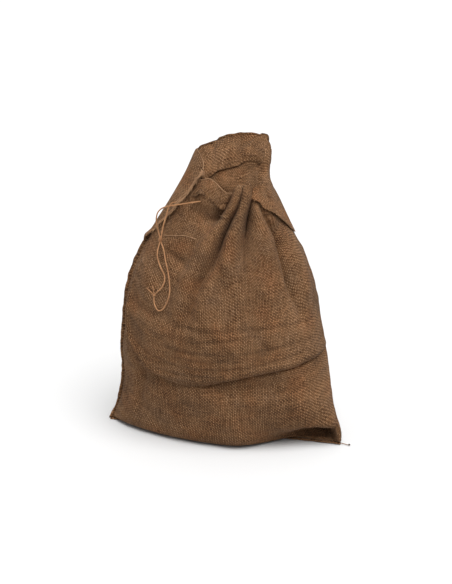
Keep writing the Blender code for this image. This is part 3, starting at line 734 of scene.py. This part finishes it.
def cloth_metres(grid, u=None, gathered=0.0):
    """Cloth coordinates of a grid: lengths along the cloth, with the gathers drawn together."""
    across = np.linalg.norm(np.diff(grid, axis=1), axis=-1)
    run = np.concatenate([np.zeros((len(grid), 1)), np.cumsum(across, 1)], 1)
    run = run - run[:, [run.shape[1] // 2]]
    along = np.linalg.norm(np.diff(grid, axis=0), axis=-1)
    rise = np.concatenate([np.zeros((1, grid.shape[1])), np.cumsum(along, 0)], 0)
    quarter = grid.shape[1] // 4
    middle = rise[:, quarter: 3 * quarter].mean(1)[:, None]
    if u is not None:
        flat = FLAT_WIDTH * (0.45 * (u - 0.5) - 0.55 * np.cos(np.pi * u) / 2)
        run = run * (1 - gathered) + flat * gathered
        # the fold at the right-hand bottom corner takes up cloth; above it the yarns run level again
        taken = rise[len(grid) * 28 // 100]
        right = np.arange(grid.shape[1]) > grid.shape[1] // 2
        rise = rise - np.where(right, taken - taken[::-1], 0.0)
    return run, rise * 0.5 + middle * 0.5


def wing_metres(grid, start):
    """Cloth coordinates of a turned-out hem, from start on: its rows keep an even spacing."""
    run, _ = cloth_metres(grid)
    along = np.linalg.norm(np.diff(grid, axis=0), axis=-1).mean(1)
    rise = np.concatenate([[0], np.cumsum(along)])
    return run + start, np.broadcast_to(rise[:, None], run.shape)


def frames_along(path):
    """Two steady side directions at each point of a path."""
    ahead = unit(np.gradient(path, axis=0))
    side = np.cross(ahead[0], (0.0, 0.0, 1.0))
    if np.linalg.norm(side) < 0.1:
        side = np.cross(ahead[0], (0.0, 1.0, 0.0))
    sides = [unit(side)]
    for direction in ahead[1:]:
        kept = sides[-1] - direction * (sides[-1] @ direction)
        sides.append(unit(kept))
    sides = np.array(sides)
    return sides, np.cross(ahead, sides)


def even_path(points, spacing):
    """Points at an even spacing along a smooth line through the given points."""
    fine = fine_curve(points, 40)
    run = distances(fine)
    return at_distance(np.linspace(0, run[-1], max(3, round(run[-1] / spacing) + 1)), run, fine)


def tube_faces(count, sides):
    """Faces over rings of points, closed at both ends by a point that follows the rings."""
    index = np.arange(count * sides).reshape(count, sides)
    right = np.roll(index, -1, axis=1)
    quads = np.stack([index[:-1], right[:-1], right[1:], index[1:]], -1).reshape(-1, 4)
    first = count * sides
    index, right = index.tolist(), right.tolist()
    caps = [(first, b, a) for a, b in zip(index[0], right[0])]
    caps += [(first + 1, a, b) for a, b in zip(index[-1], right[-1])]
    return quads.tolist() + caps


def tube_parts(path, radius, sides, pitch=None):
    """Points and faces of a closed tube; with a pitch it is two plies twisted together."""
    side, other = frames_along(path)
    angle = np.arange(sides) * math.tau / sides
    size = np.broadcast_to(radius, (len(path),))[:, None] * np.ones((1, sides))
    if pitch:
        phase = angle[None, :] - distances(path)[:, None] / pitch * math.tau
        size = size * (0.66 + 0.34 * np.abs(np.cos(phase)) ** 0.8)
    ring = (
        path[:, None, :]
        + side[:, None, :] * (np.cos(angle)[None, :] * size)[..., None]
        + other[:, None, :] * (np.sin(angle)[None, :] * size)[..., None]
    )
    return np.concatenate([ring.reshape(-1, 3), path[:1], path[-1:]]), tube_faces(len(path), sides)


def loose_fibres(rng, roots, ahead, length, radius, spread, droop=0.0):
    """Short bent fibres from each root, near the direction given for it."""
    parts = []
    for root, direction in zip(roots, ahead):
        way = unit(direction + rng.normal(size=3) * spread)
        bend = rng.normal(size=3) * 0.35
        reach = length * rng.uniform(0.35, 1.0)
        t = np.linspace(0, 1, 5)[:, None]
        path = root + way * t * reach + bend * t ** 2 * reach * 0.6
        path[:, 2] -= droop * (t[:, 0] ** 2) * reach
        parts.append(tube_parts(path, radius * np.linspace(1, 0.5, 5), 4))
    return parts


def same_way(direction, count):
    return np.array([direction] * count)


# Walls of the sack

U_AXIS = np.linspace(0.0, 1.0, 221)
S_AXIS = np.concatenate([np.linspace(0.0, 4.0, 61), np.linspace(4.0, 14.1, 213)[1:]])
front_at = sampler(*folded_wall(front_base, 1, U_AXIS, S_AXIS, FRONT_FOLDS, SEED), U_AXIS, S_AXIS)
back_at = sampler(*folded_wall(back_base, -1, U_AXIS, S_AXIS, BACK_FOLDS, SEED + 20), U_AXIS, S_AXIS)
EDGE_SOFT = smoothstep(0.0, 0.03, U_AXIS) * smoothstep(0.0, 0.03, 1 - U_AXIS)
FRONT_TOP = soft_table(FRONT_RIM, U_AXIS)


def add_hem(name, grid, uv, node_name):
    return add(name, sheet_mesh(name, grid, 1, uv), HEM, "sack", "hem", node_name)


def between_walls(u, s):
    """Points halfway between the front and the back wall."""
    return (front_at(u, s)[0] + back_at(u, s)[0]) / 2


def rolled_rim(grid, away, roll, turn, depth):
    """Adds rows that turn a grid's top edge inwards, and carry it down the inside."""
    normal = normals_of(grid, away)[-1]
    ahead = unit(grid[-1] - grid[-2])
    rows = [grid]
    for angle in np.linspace(0, turn, 9)[1:]:
        out = ahead * math.sin(angle) - normal * (1 - math.cos(angle))
        rows.append((grid[-1] + np.reshape(roll, (-1, 1)) * out)[None])
    down = ahead * math.cos(turn) - normal * math.sin(turn)
    for step in np.linspace(0, depth, 8)[1:]:
        rows.append((rows[8][0] + down * step)[None])
    return np.concatenate(rows)


def wall_sheet(name, look, away, rim, nodes, roll, turn, depth):
    """One wall up to its rim, with the rim rolled in. Its cloth thins out towards the seams."""
    v = np.concatenate([np.linspace(0, 0.33, 61), np.linspace(0.33, 1.0, 150)[1:]])
    s = v[:, None] * rim[None, :]
    grid, _ = look(np.broadcast_to(U_AXIS, s.shape), s)
    grid = rolled_rim(grid, away, roll, turn, depth)
    uv = cloth_metres(grid, np.broadcast_to(U_AXIS, grid.shape[:2]), gathered=0.4)
    soft = np.broadcast_to(EDGE_SOFT, grid.shape[:2]).copy()
    soft[: len(s)] *= smoothstep(0.0, 0.35, s)
    mesh = sheet_mesh(name, grid, away, uv, OUT_SHIFT * soft, LEAST_HEIGHT + (CLOTH - LEAST_HEIGHT) * soft)
    return add(name, mesh, HESSIAN, "sack", "hessian", *nodes)


def make_front():
    zero = np.zeros_like(U_AXIS)
    rim = FRONT_TOP + 0.03 * smooth_noise(np.stack([U_AXIS, zero, zero], -1), 0.05, 3)
    # the rim rolls over more widely between the pleats
    roll = 0.0016 + 0.0042 * np.exp(-((U_AXIS - 0.505) / 0.06) ** 4)
    nodes = "front_panel", "front_casing_hem"
    return wall_sheet("front_cloth", front_at, 1, rim, nodes, roll, turn=math.pi, depth=0.040)


def make_back():
    rim = soft_table(HOOD_RIM, U_AXIS, RIM_REACH)
    nodes = ("back_panel",)
    return wall_sheet("back_cloth", back_at, -1, rim, nodes, roll=0.0006, turn=math.pi / 2, depth=0.001)


def make_back_hem():
    """The hem inside the hood, from its cast-over lower edge up to the rim."""
    ends_at = BACK_HEM_EDGE[0][0], BACK_HEM_EDGE[-1][0]
    u_axis = np.linspace(*ends_at, 150)
    low = soft_table(BACK_HEM_EDGE, u_axis)
    top = soft_table(HOOD_RIM, u_axis, RIM_REACH)
    t = np.linspace(0, 1, 64)[:, None]
    s = low + (top - low) * t
    u = np.broadcast_to(u_axis, s.shape)
    grid, normal = back_at(u, s)
    stand = soft_table(HEM_STAND, u) * (1 - 0.62 * smoothstep(0.55, 1.0, t))
    flare = 1 + (soft_table(HEM_FLARE, u) - 1) * (1 - smoothstep(0.0, 0.14, t))
    ends = smoothstep(ends_at[0], 0.10, u) * (1 - smoothstep(0.90, ends_at[1], u))
    stand = 0.0010 + (stand * flare - 0.0010) * ends
    stand += 0.0006 * smooth_noise(grid, 0.03, 55)
    grid = grid - normal * stand[..., None]
    # it wraps over the sack's top edge
    grid = rolled_rim(grid, 1, roll=0.0020, turn=math.pi, depth=0.004)
    x, y = cloth_metres(grid)
    return add_hem("back_hem", grid, (x + 0.3, y), "back_casing_hem")


# Wings: the hem turned out at both side edges

WING_SHARE = np.linspace(0, 1, WING_COLS - WING_BACK)


def wing_rise(back_lift, front_lift):
    """How far each column of a wing stands off the walls."""
    return np.concatenate([np.linspace(HEM_START, back_lift, WING_BACK, endpoint=False), front_lift])


def wing_row(s, edge, wrap, free, rise):
    """One row of a wing, from the back wall round the side edge to the wing's free edge."""
    back, back_out = back_at(np.linspace(wrap, edge, WING_BACK, endpoint=False), s)
    front, front_out = front_at(np.linspace(edge, free, WING_COLS - WING_BACK), s)
    out = np.concatenate([back_out, front_out])
    for _ in range(6):
        out[1:-1] = (out[:-2] + out[1:-1] * 2 + out[2:]) / 4
    return np.concatenate([back, front]) + unit(out) * rise[:, None]


def left_wing_row(s):
    flare = 1 + 0.7 * smoothstep(0.55, 1.0, WING_SHARE) * smoothstep(9.9, 10.5, s)
    tip = math.exp(-((s - 9.72) / 0.16) ** 2) * 0.0075
    rise = wing_rise(WING_LIFT, WING_LIFT * flare) + tip * smoothstep(0, WING_BACK, np.arange(WING_COLS))
    rise = rise * (1 - 0.7 * smoothstep(13.25, 13.58, s))
    return wing_row(s, 0.0, 0.10, table(LEFT_WING_EDGE, s), rise)


def make_left_wing(rng):
    s_axis = np.linspace(LEFT_WING_EDGE[0][0], LEFT_WING_EDGE[-1][0], 130)
    grid = np.array([left_wing_row(s) for s in s_axis])
    wing = add_hem("left_wing", grid, wing_metres(grid, start=0.7), "left_casing_wing")
    # frayed threads along the free edge
    free = grid[:, -1]
    ahead = unit(np.gradient(free, axis=0))
    across = unit(grid[:, -1] - grid[:, -3])
    out = unit(np.cross(across, ahead))
    out = out * -np.sign(out[:, 1:2])
    frayed = np.flatnonzero((s_axis > 9.9) & (s_axis < 12.35))
    picks = rng.choice(frayed, 110)
    roots = free[picks] - across[picks] * rng.uniform(0, 0.004, (110, 1)) + out[picks] * 0.0012
    ways = -ahead[picks] * 0.8 + across[picks] * 0.5 + out[picks] * 0.1
    parts = loose_fibres(rng, roots, ways, length=0.015, radius=0.00042, spread=0.30, droop=0.2)
    for k in range(16):
        first = int(rng.integers(6, 86))
        last = min(first + int(rng.integers(14, 40)), frayed[-1])
        wander = np.cumsum(rng.normal(size=(len(free), 1)) * 0.00035, 0)
        strand = free + across * (rng.uniform(-0.0045, 0.0015) + wander) + out * (0.0014 + 0.0003 * (k % 3))
        strand = strand[first:last:3]
        if len(strand) > 3:
            parts.append(tube_parts(even_path(strand, 0.002), rng.uniform(0.0006, 0.0010), 6))
    # one thread along the edge above, and a tuft at the corner
    above = (s_axis > 12.3) & (s_axis < 13.5)
    parts.append(tube_parts(even_path((free + out * 0.0008)[above][::3], 0.002), 0.0006, 6))
    corner = free[np.argmin(abs(s_axis - 12.2))] + (0, -0.002, 0)
    tuft = np.repeat(corner[None], 34, 0) + rng.normal(size=(34, 3)) * 0.0016
    ways = same_way([0.1, -0.5, -0.4], 34)
    parts += loose_fibres(rng, tuft, ways, length=0.010, radius=0.0006, spread=0.7)
    return wing, add_thread("left_wing_fray", parts, FRAYED)


def right_wing_row(s):
    fade = 1 - 0.8 * smoothstep(11.4, 12.2, s)
    flare = 1 + 0.9 * smoothstep(0.6, 1.0, WING_SHARE) * smoothstep(10.0, 10.6, s)
    front_lift = WING_LIFT * (fade + (1 - fade) * smoothstep(0, 0.5, WING_SHARE)) * flare
    wrap = 0.08 * (1 - smoothstep(11.2, 12.2, s)) + 0.002
    free = soft_table(RIGHT_WING_EDGE, s, reach=0.12)
    return wing_row(s, 1.0, 1 - wrap, free, wing_rise(WING_LIFT * fade, front_lift))


def right_wing_bridge(start, ahead, low):
    """Rows from the wing's upper row, at station low, to the inside of the hood."""
    # columns run from the silhouette (0) to the mouth (1)
    c = np.concatenate([np.zeros(WING_BACK), WING_SHARE])
    u_top = 1.0 - 0.50 * c
    s_top = 13.25 - 1.20 * c ** 0.9
    top, top_out = back_at(u_top, s_top)
    rise_top = unit(back_at(u_top, s_top + 0.3)[0] - top)
    stand = HEM_START + 0.0056 * smoothstep(12.35, 12.7, s_top) * smoothstep(0.0, 0.2, c)
    top = top - top_out * stand[:, None]
    span = np.linalg.norm(top - start, axis=-1, keepdims=True)
    inner = smoothstep(0.0, 0.30, c)[:, None]
    rows = []
    for t in np.linspace(0, 1, 46)[1:]:
        h00, h10 = 2 * t ** 3 - 3 * t ** 2 + 1, t ** 3 - 2 * t ** 2 + t
        h01, h11 = -2 * t ** 3 + 3 * t ** 2, t ** 3 - t ** 2
        bridge = h00 * start + h10 * ahead * span * 0.9 + h01 * top + h11 * rise_top * span * 0.8
        edge = back_at(np.full(WING_COLS, 1.0), low + (s_top - low) * t)[0]
        offset = (start - back_at(1.0, low)[0]) * (1 - t) + (top - back_at(1.0, s_top)[0]) * t
        row = (edge + offset) * (1 - inner) + bridge * inner
        # the side next to the mouth hangs down behind the pleats
        row[:, 2] -= 0.030 * math.sin(math.pi * t) ** 0.8 * smoothstep(0.55, 1.0, c) ** 1.3
        rows.append(row)
    return np.array(rows)


def make_right_wing(rng):
    """The right-hand hem turns out over the shoulder, and runs up into the hood."""
    s_axis = np.linspace(RIGHT_WING_EDGE[0][0], 12.2, 90)
    lower = np.array([right_wing_row(s) for s in s_axis])
    upper = right_wing_bridge(lower[-1], unit(lower[-1] - lower[-6]), s_axis[-1])
    grid = np.concatenate([lower, upper])[:, ::-1]
    wing = add_hem("right_wing", grid, wing_metres(grid, start=1.4), "right_casing_wing")
    roots = grid[rng.integers(52, 86, 26), 0]
    ways = same_way([-0.5, -0.3, -0.3], 26)
    parts = loose_fibres(rng, roots, ways, length=0.010, radius=0.00035, spread=0.5, droop=0.3)
    return wing, add_thread("right_wing_fray", parts, FRAYED)


# Seams

SEAM_THREAD = 0.0007    # radius


def seam_band(name, centres, wide, thick, half_wide, half_thick):
    """A flat rolled edge along the centres."""
    angle = np.arange(12) * math.tau / 12
    x = np.sign(np.cos(angle)) * np.abs(np.cos(angle)) ** 0.6 * half_wide
    y = np.sign(np.sin(angle)) * np.abs(np.sin(angle)) ** 0.8 * half_thick
    ring = centres[:, None] + wide[:, None] * x[None, :, None] + thick[:, None] * y[None, :, None]
    ring[..., 2] = np.maximum(ring[..., 2], LEAST_HEIGHT)
    points = np.concatenate([ring.reshape(-1, 3), centres[:1], centres[-1:]])
    count = len(centres)
    uv = np.stack([np.tile(angle * 0.0018, count), np.repeat(distances(centres), len(angle))], -1)
    uv = np.concatenate([uv, uv[:1], uv[-1:]])
    return make_mesh(name, points, tube_faces(count, len(angle)), uv)


def overlock(centres, wide, thick, half_wide, half_thick, pitch, rng):
    """Slanted loops of thread round a seam edge, with a chain along its inner side."""
    run = distances(centres)
    parts = []
    at = pitch / 2
    while at < run[-1] - pitch:
        spots = at + np.array([0.0, 0.30, 0.50, 0.80, 1.0]) * pitch + rng.normal() * 0.0004
        where = np.array([[1.0, -0.4], [0.2, 1.05], [-1.08, 0.5], [-1.0, -0.6], [0.3, -1.05]])
        loop = []
        for spot, (w, t) in zip(spots, where):
            c, x, y = (at_distance(spot, run, values) for values in (centres, wide, thick))
            loop.append(c + x * w * half_wide + y * t * half_thick)
        parts.append(tube_parts(even_path(loop, 0.0018), SEAM_THREAD, 6))
        at += pitch
    chain = centres - wide * half_wide * 0.85 + thick * (half_thick + SEAM_THREAD * 0.6)
    wave = np.sin(run / pitch * math.tau)[:, None] * 0.0005
    parts.append(tube_parts(even_path((chain + wide * wave)[::2], 0.002), SEAM_THREAD, 6))
    return parts


def add_seam(name, node_name, rng, centres, wide, thick, half_wide, half_thick, pitch):
    shape = centres, wide, thick, half_wide, half_thick
    add(name + "_edge", seam_band(name + "_edge", *shape), HESSIAN, "sack", "thread")
    add_thread(name + "_thread", overlock(*shape, pitch, rng), THREAD, node_name)


def square_to(direction, ahead):
    """The part of each direction that is square to the way ahead."""
    return unit(direction - ahead * (direction * ahead).sum(-1, keepdims=True))


def make_side_seam(rng):
    s_axis = np.linspace(0.0, 9.85, 260)
    edge = curve(LEFT_EDGE, s_axis)
    edge[:, 2] -= 0.0055 * (1 - smoothstep(0.0, 1.4, s_axis))
    ahead = unit(np.gradient(edge, axis=0))
    out = square_to(edge - between_walls(0.05, s_axis), ahead)
    out = square_to(unit(out * 0.4 + np.array((-1.0, 0.02, 0.0)) * 0.6), ahead)
    thick = np.cross(ahead, out)
    thick = thick * -np.sign(thick[:, 1:2])
    wobble = 0.0007 * smooth_noise(edge, 0.03, 91) + 0.0012 * smooth_noise(edge, 0.11, 92)
    corner = 0.0045 * (1 - smoothstep(0.0, 1.2, s_axis)) - 0.0060 * np.exp(-((s_axis - 2.0) / 0.8) ** 2)
    centres = edge + out * (0.0030 + wobble + corner)[:, None]
    add_seam("left_seam", "left_side_seam", rng, centres, out, thick, 0.0064, 0.0017, pitch=0.0095)


def make_bottom_seam(rng):
    share = np.linspace(-0.014, 1.0, 200)
    low, high = np.array(LEFT_EDGE[0]), np.array(RIGHT_EDGE[0])
    centres = low + (high - low) * share[:, None]
    ahead = unit(high - low)
    out = -unit(np.cross((0.0, 0.0, 1.0), ahead))
    centres[:, 2] = 0.0019 + 0.0018 * smoothstep(0.72, 1.0, share)
    centres = centres + out * (0.0022 + 0.0006 * smooth_noise(centres, 0.03, 71))[:, None]
    wide = np.broadcast_to(out, centres.shape)
    thick = np.broadcast_to(np.array((0.0, 0.0, 1.0)), centres.shape)
    add_seam("bottom_seam", "bottom_seam", rng, centres, wide, thick, 0.0046, 0.0016, pitch=0.0085)
    # the thread left at the end of the seam, with its dark tip
    corner = centres[-1]
    end = corner + np.array((0.021, -0.010, -0.0008))
    route = [corner - ahead * 0.004, corner + (0.004, -0.001, 0.0), corner + (0.012, -0.004, -0.0010), end]
    tail = tube_parts(even_path(route, 0.0012), 0.0010, 8, pitch=0.006)
    add_thread("seam_thread_tail", [tail], THREAD, "bottom_seam_thread_tail")
    path = even_path([end + (-0.0035, 0.0012, 0.0004), end + (-0.0005, 0.0010, 0.0016),
                      end + (0.0015, -0.0006, 0.0008)], 0.0011)
    size = 0.0017 * np.interp(np.linspace(0, 4, len(path)), range(5), [0.5, 1.0, 1.1, 0.9, 0.35])
    add_thread("seam_thread_tip", [tube_parts(path, size, 8)], DARK_TIP)


# Stitches and frayed threads

STITCH = 0.0056         # length, give or take STITCH_VARIES
STITCH_VARIES = 0.0008
STITCH_GAP = 0.0028
STITCH_RADIUS = 0.00055
STITCH_DIP = np.array([-0.0009, 0.0001, 0.0004, 0.0001, -0.0009])[:, None]


def stitches(name, look, away, path, node_name, rng):
    """A line of running stitches, away from a wall; each dips into the cloth at its ends."""
    place, out = look(*fine_curve(path, 30).T)
    place = place + out * away
    run = distances(place)
    parts = []
    at = 0.002
    while at < run[-1] - 0.008:
        long = STITCH + rng.uniform(-STITCH_VARIES, STITCH_VARIES)
        spots = at + np.linspace(0, long, 5)
        normal = unit(at_distance(spots, run, out))
        centre = at_distance(spots, run, place) + normal * STITCH_DIP * np.sign(away)
        parts.append(tube_parts(centre, STITCH_RADIUS, 6))
        at += long + STITCH_GAP
    add_thread(name, parts, THREAD, node_name)


def make_stitching(rng):
    shares = np.linspace(0.12, 0.90, 24)
    path = np.stack([shares, soft_table(BACK_HEM_EDGE, shares) + 0.16], -1)
    stitches("back_hem_stitches", back_at, -0.0080, path, "back_hem_stitching", rng)
    path = [(u, 11.05 - 0.25 * (u - 0.5) ** 2) for u in np.linspace(0.30, 0.56, 9)]
    stitches("front_hem_stitches", front_at, 0.0018, path, "front_hem_stitching", rng)
    path = [(table(LEFT_WING_EDGE, s) - 0.026, s) for s in np.linspace(10.0, 12.1, 15)]
    stitches("left_wing_stitches", front_at, 0.0055, path, "left_wing_stitching", rng)
    path = [(table(RIGHT_WING_EDGE, s) + 0.035, s) for s in np.linspace(10.2, 11.25, 9)]
    stitches("right_wing_stitches", front_at, 0.0055, path, "right_wing_stitching", rng)


def make_front_fray(rng):
    """Thin frayed threads along the left of the front rim, and two loose ones."""
    shares = np.linspace(0.225, 0.455, 60)
    place, _ = front_at(shares, np.interp(shares, U_AXIS, FRONT_TOP))
    parts = []
    for k in range(3):
        wander = np.cumsum(rng.normal(size=place.shape) * 0.00012, 0)
        lift = np.array((0, -0.4, 1.0)) * (0.0022 + 0.0005 * k)
        parts.append(tube_parts(even_path((place + wander + lift)[::2], 0.002), 0.0005, 6))
    roots = place[rng.integers(0, 60, 46)] + (0, 0, 0.0012)
    ways = same_way([0.0, -0.2, 0.5], 46)
    parts += loose_fibres(rng, roots, ways, length=0.0065, radius=0.00026, spread=0.6)
    for path in ([(0.441, 10.62), (0.43, 10.67), (0.410, 10.72), (0.388, 10.80)],
                 [(0.336, 9.97), (0.277, 10.03), (0.232, 10.0), (0.159, 9.95)]):
        p, n = front_at(*np.array(path).T)
        rise = np.array([0.002, 0.0035, 0.0030, 0.0018])[:, None]
        parts.append(tube_parts(even_path(p + n * rise, 0.002), 0.0007, 6))
    add_thread("front_rim_fray", parts, FRAYED)


# Drawstring

HALF = TWINE / 2
KNOT_GAP = END_KNOT_RADIUS + 0.0004


def straight(start, step, count):
    return [tuple(start + step * i) for i in range(count)]


def toward(point, goal, distance):
    return np.asarray(goal) + unit(np.asarray(point) - np.asarray(goal)) * distance


def make_slip_knot():
    """Turns of twine round both strands."""
    turns = 2.4
    side = unit(np.cross(SLIP_DIRECTION, (0.0, 0.0, 1.0)))
    other = np.cross(SLIP_DIRECTION, side)
    angle = np.linspace(0, math.tau * turns, 90)[:, None]
    coil = (
        SLIP_KNOT + side * np.cos(angle) * 0.0046 + other * np.sin(angle) * 0.0032
        + SLIP_DIRECTION * (angle / math.tau - turns / 2) * 0.0024
    )
    turn = tube_parts(coil, HALF * 0.8, 10, pitch=0.006)
    return add_twine("slip_knot", [turn], "drawstring", "drawstring_slip_knot")


def make_end_knot():
    """An overhand knot pulled tight."""
    angle = np.linspace(0, math.tau, 100)
    flat, deep = END_KNOT_RADIUS * 0.252, END_KNOT_RADIUS * 0.45
    knot = END_KNOT + np.stack([
        (np.sin(angle) + 2 * np.sin(2 * angle)) * flat,
        (np.cos(angle) - 2 * np.cos(2 * angle)) * flat,
        -np.sin(3 * angle) * deep,
    ], -1)
    tight = tube_parts(knot, HALF * 0.85, 10, pitch=0.007)
    return add_twine("end_knot", [tight], "drawstring", "drawstring_end_knot")


def make_cut_end(letter, tip, rng):
    root = toward(tip, END_KNOT, KNOT_GAP * 0.6)
    middle = (root + np.array(tip)) / 2 + np.array((0, -0.001, 0.0005))
    path = even_path([root, middle, tip], 0.0012)
    ends = path[-1] + rng.normal(size=(26, 3)) * 0.0005
    parts = [tube_parts(path, HALF * 0.8, 10, pitch=0.007)]
    ways = same_way(unit(path[-1] - path[-3]), 26)
    parts += loose_fibres(rng, ends, ways, length=0.007, radius=0.0002, spread=0.35, droop=0.2)
    return add_twine("cut_end_" + letter, parts, "drawstring", "drawstring_cut_end_" + letter)


def make_strand(letter, leaves, pace, paces, upper, beside, lower, rng):
    """One strand, from inside the hem through the slip knot to the end knot."""
    route = straight(leaves - PULL_AXIS * INNER_REACH, PULL_AXIS * INNER_REACH / 3, 4)
    route += straight(leaves + PULL_AXIS * pace, PULL_AXIS * pace, paces)
    route += upper
    route += straight(SLIP_KNOT + beside - SLIP_DIRECTION * 0.006, SLIP_DIRECTION * 0.006, 3)
    route += lower
    route.append(tuple(toward(lower[-1], END_KNOT, KNOT_GAP)))
    path = even_path(route, 0.0014)
    name = "drawstring_" + letter
    # drawn thicker, because the twist takes some of its width away again
    strand = tube_parts(path, HALF * 1.25, 10, pitch=0.0075)
    obj = add_twine(name, [strand], "drawstring", "drawstring_strand_" + letter)
    picks = rng.integers(60, len(path) - 4, 150)
    ahead = unit(np.gradient(path, axis=0))
    fuzz = loose_fibres(
        rng, path[picks], ahead[picks], length=0.0055, radius=0.00012, spread=0.45, droop=0.1,
    )
    hair = add_twine(name + "_fuzz", fuzz, "drawstring")


def make_held_run():
    """The run held inside the hem, from one strand's inner end round to the other's."""
    place, out = back_at(*fine_curve(CASING_RUN, 10).T)
    inner_a = EXIT_A - PULL_AXIS * (INNER_REACH + 0.0008)
    inner_b = EXIT_B - PULL_AXIS * (INNER_REACH + 0.0008)
    route = np.concatenate([
        [inner_a, inner_a - PULL_AXIS * 0.012],
        between_walls(*np.transpose(HELD_RIGHT)),
        place - out * 0.0027,
        between_walls(*np.transpose(HELD_LEFT)),
        [inner_b - PULL_AXIS * 0.005, inner_b],
    ])
    run = tube_parts(even_path(route, 0.002), HALF, 8, pitch=0.0075)
    add_twine("drawstring_held_run", [run], "sack", "drawstring_in_casing")


def make_drawstring(rng):
    beside = np.array((HALF + 0.0002, 0, 0))
    knots = [make_slip_knot(), make_end_knot()]
    knots += [make_cut_end(letter, tip, rng) for letter, tip in zip("ab", CUT_ENDS)]
    make_strand("a", EXIT_A, 0.026, 3, STRAND_A_UPPER, -beside, STRAND_A_LOWER, rng)
    make_strand("b", EXIT_B, 0.010, 1, STRAND_B_UPPER, beside, STRAND_B_LOWER, rng)
    make_held_run()


# Stage


def link(name, data):
    obj = bpy.data.objects.new(name, data)
    bpy.context.scene.collection.objects.link(obj)
    return obj


def make_floor():
    size = 40.0
    mesh = bpy.data.meshes.new("floor")
    corners = [(-size, -size, 0), (size, -size, 0), (size, size, 0), (-size, size, 0)]
    mesh.from_pydata(corners, [], [(0, 1, 2, 3)])
    mat, _, shader = new_material("pale_floor")
    shader.inputs["Base Color"].default_value = (FLOOR_GREY, FLOOR_GREY, FLOOR_GREY, 1)
    shader.inputs["Roughness"].default_value = 1.0
    shader.inputs["Specular IOR Level"].default_value = 0.0
    mesh.materials.append(mat)
    link("floor", mesh)


def make_lights():
    """A white world that is brighter overhead, and one soft lamp."""
    world = bpy.data.worlds.new("studio")
    bpy.context.scene.world = world
    world.use_nodes = True
    tree = world.node_tree
    background = tree.nodes["Background"]
    background.inputs[0].default_value = (1, 1, 1, 1)
    split = node(tree, "ShaderNodeSeparateXYZ")
    tree.links.new(node(tree, "ShaderNodeTexCoord").outputs["Generated"], split.inputs[0])
    overhead = maths(tree, "MAXIMUM", split.outputs[2], 0.0)
    feed(tree, background.inputs[1], maths(tree, "MULTIPLY_ADD", overhead, WORLD_OVERHEAD, WORLD_LIGHT))
    data = bpy.data.lights.new("key", "SUN")
    data.energy = KEY_LIGHT
    data.angle = math.radians(KEY_SOFTNESS)
    lamp = link("key", data)
    lamp.rotation_euler = Vector(KEY_FROM).to_track_quat("Z", "Y").to_euler()


def make_camera():
    camera = bpy.data.cameras.new("camera")
    camera.sensor_width = 36
    camera.lens = CAMERA_LENS
    camera.clip_end = 100
    eye = link("camera", camera)
    elevation = math.radians(CAMERA_ELEVATION)
    back = Vector((0, -math.cos(elevation), math.sin(elevation)))
    eye.location = Vector(CAMERA_TARGET) - Vector(BASE_CENTRE) + back * CAMERA_DISTANCE
    eye.rotation_euler = back.to_track_quat("Z", "Y").to_euler()
    bpy.context.scene.camera = eye
    bpy.context.scene.view_settings.view_transform = "Standard"


draws = np.random.default_rng(SEED)
front = make_front()
back = make_back()
back_hem = make_back_hem()
left_wing, left_fray = make_left_wing(draws)
right_wing, right_fray = make_right_wing(draws)
make_side_seam(draws)
make_bottom_seam(draws)
make_stitching(draws)
make_front_fray(draws)
make_drawstring(draws)
make_floor()
make_lights()
make_camera()
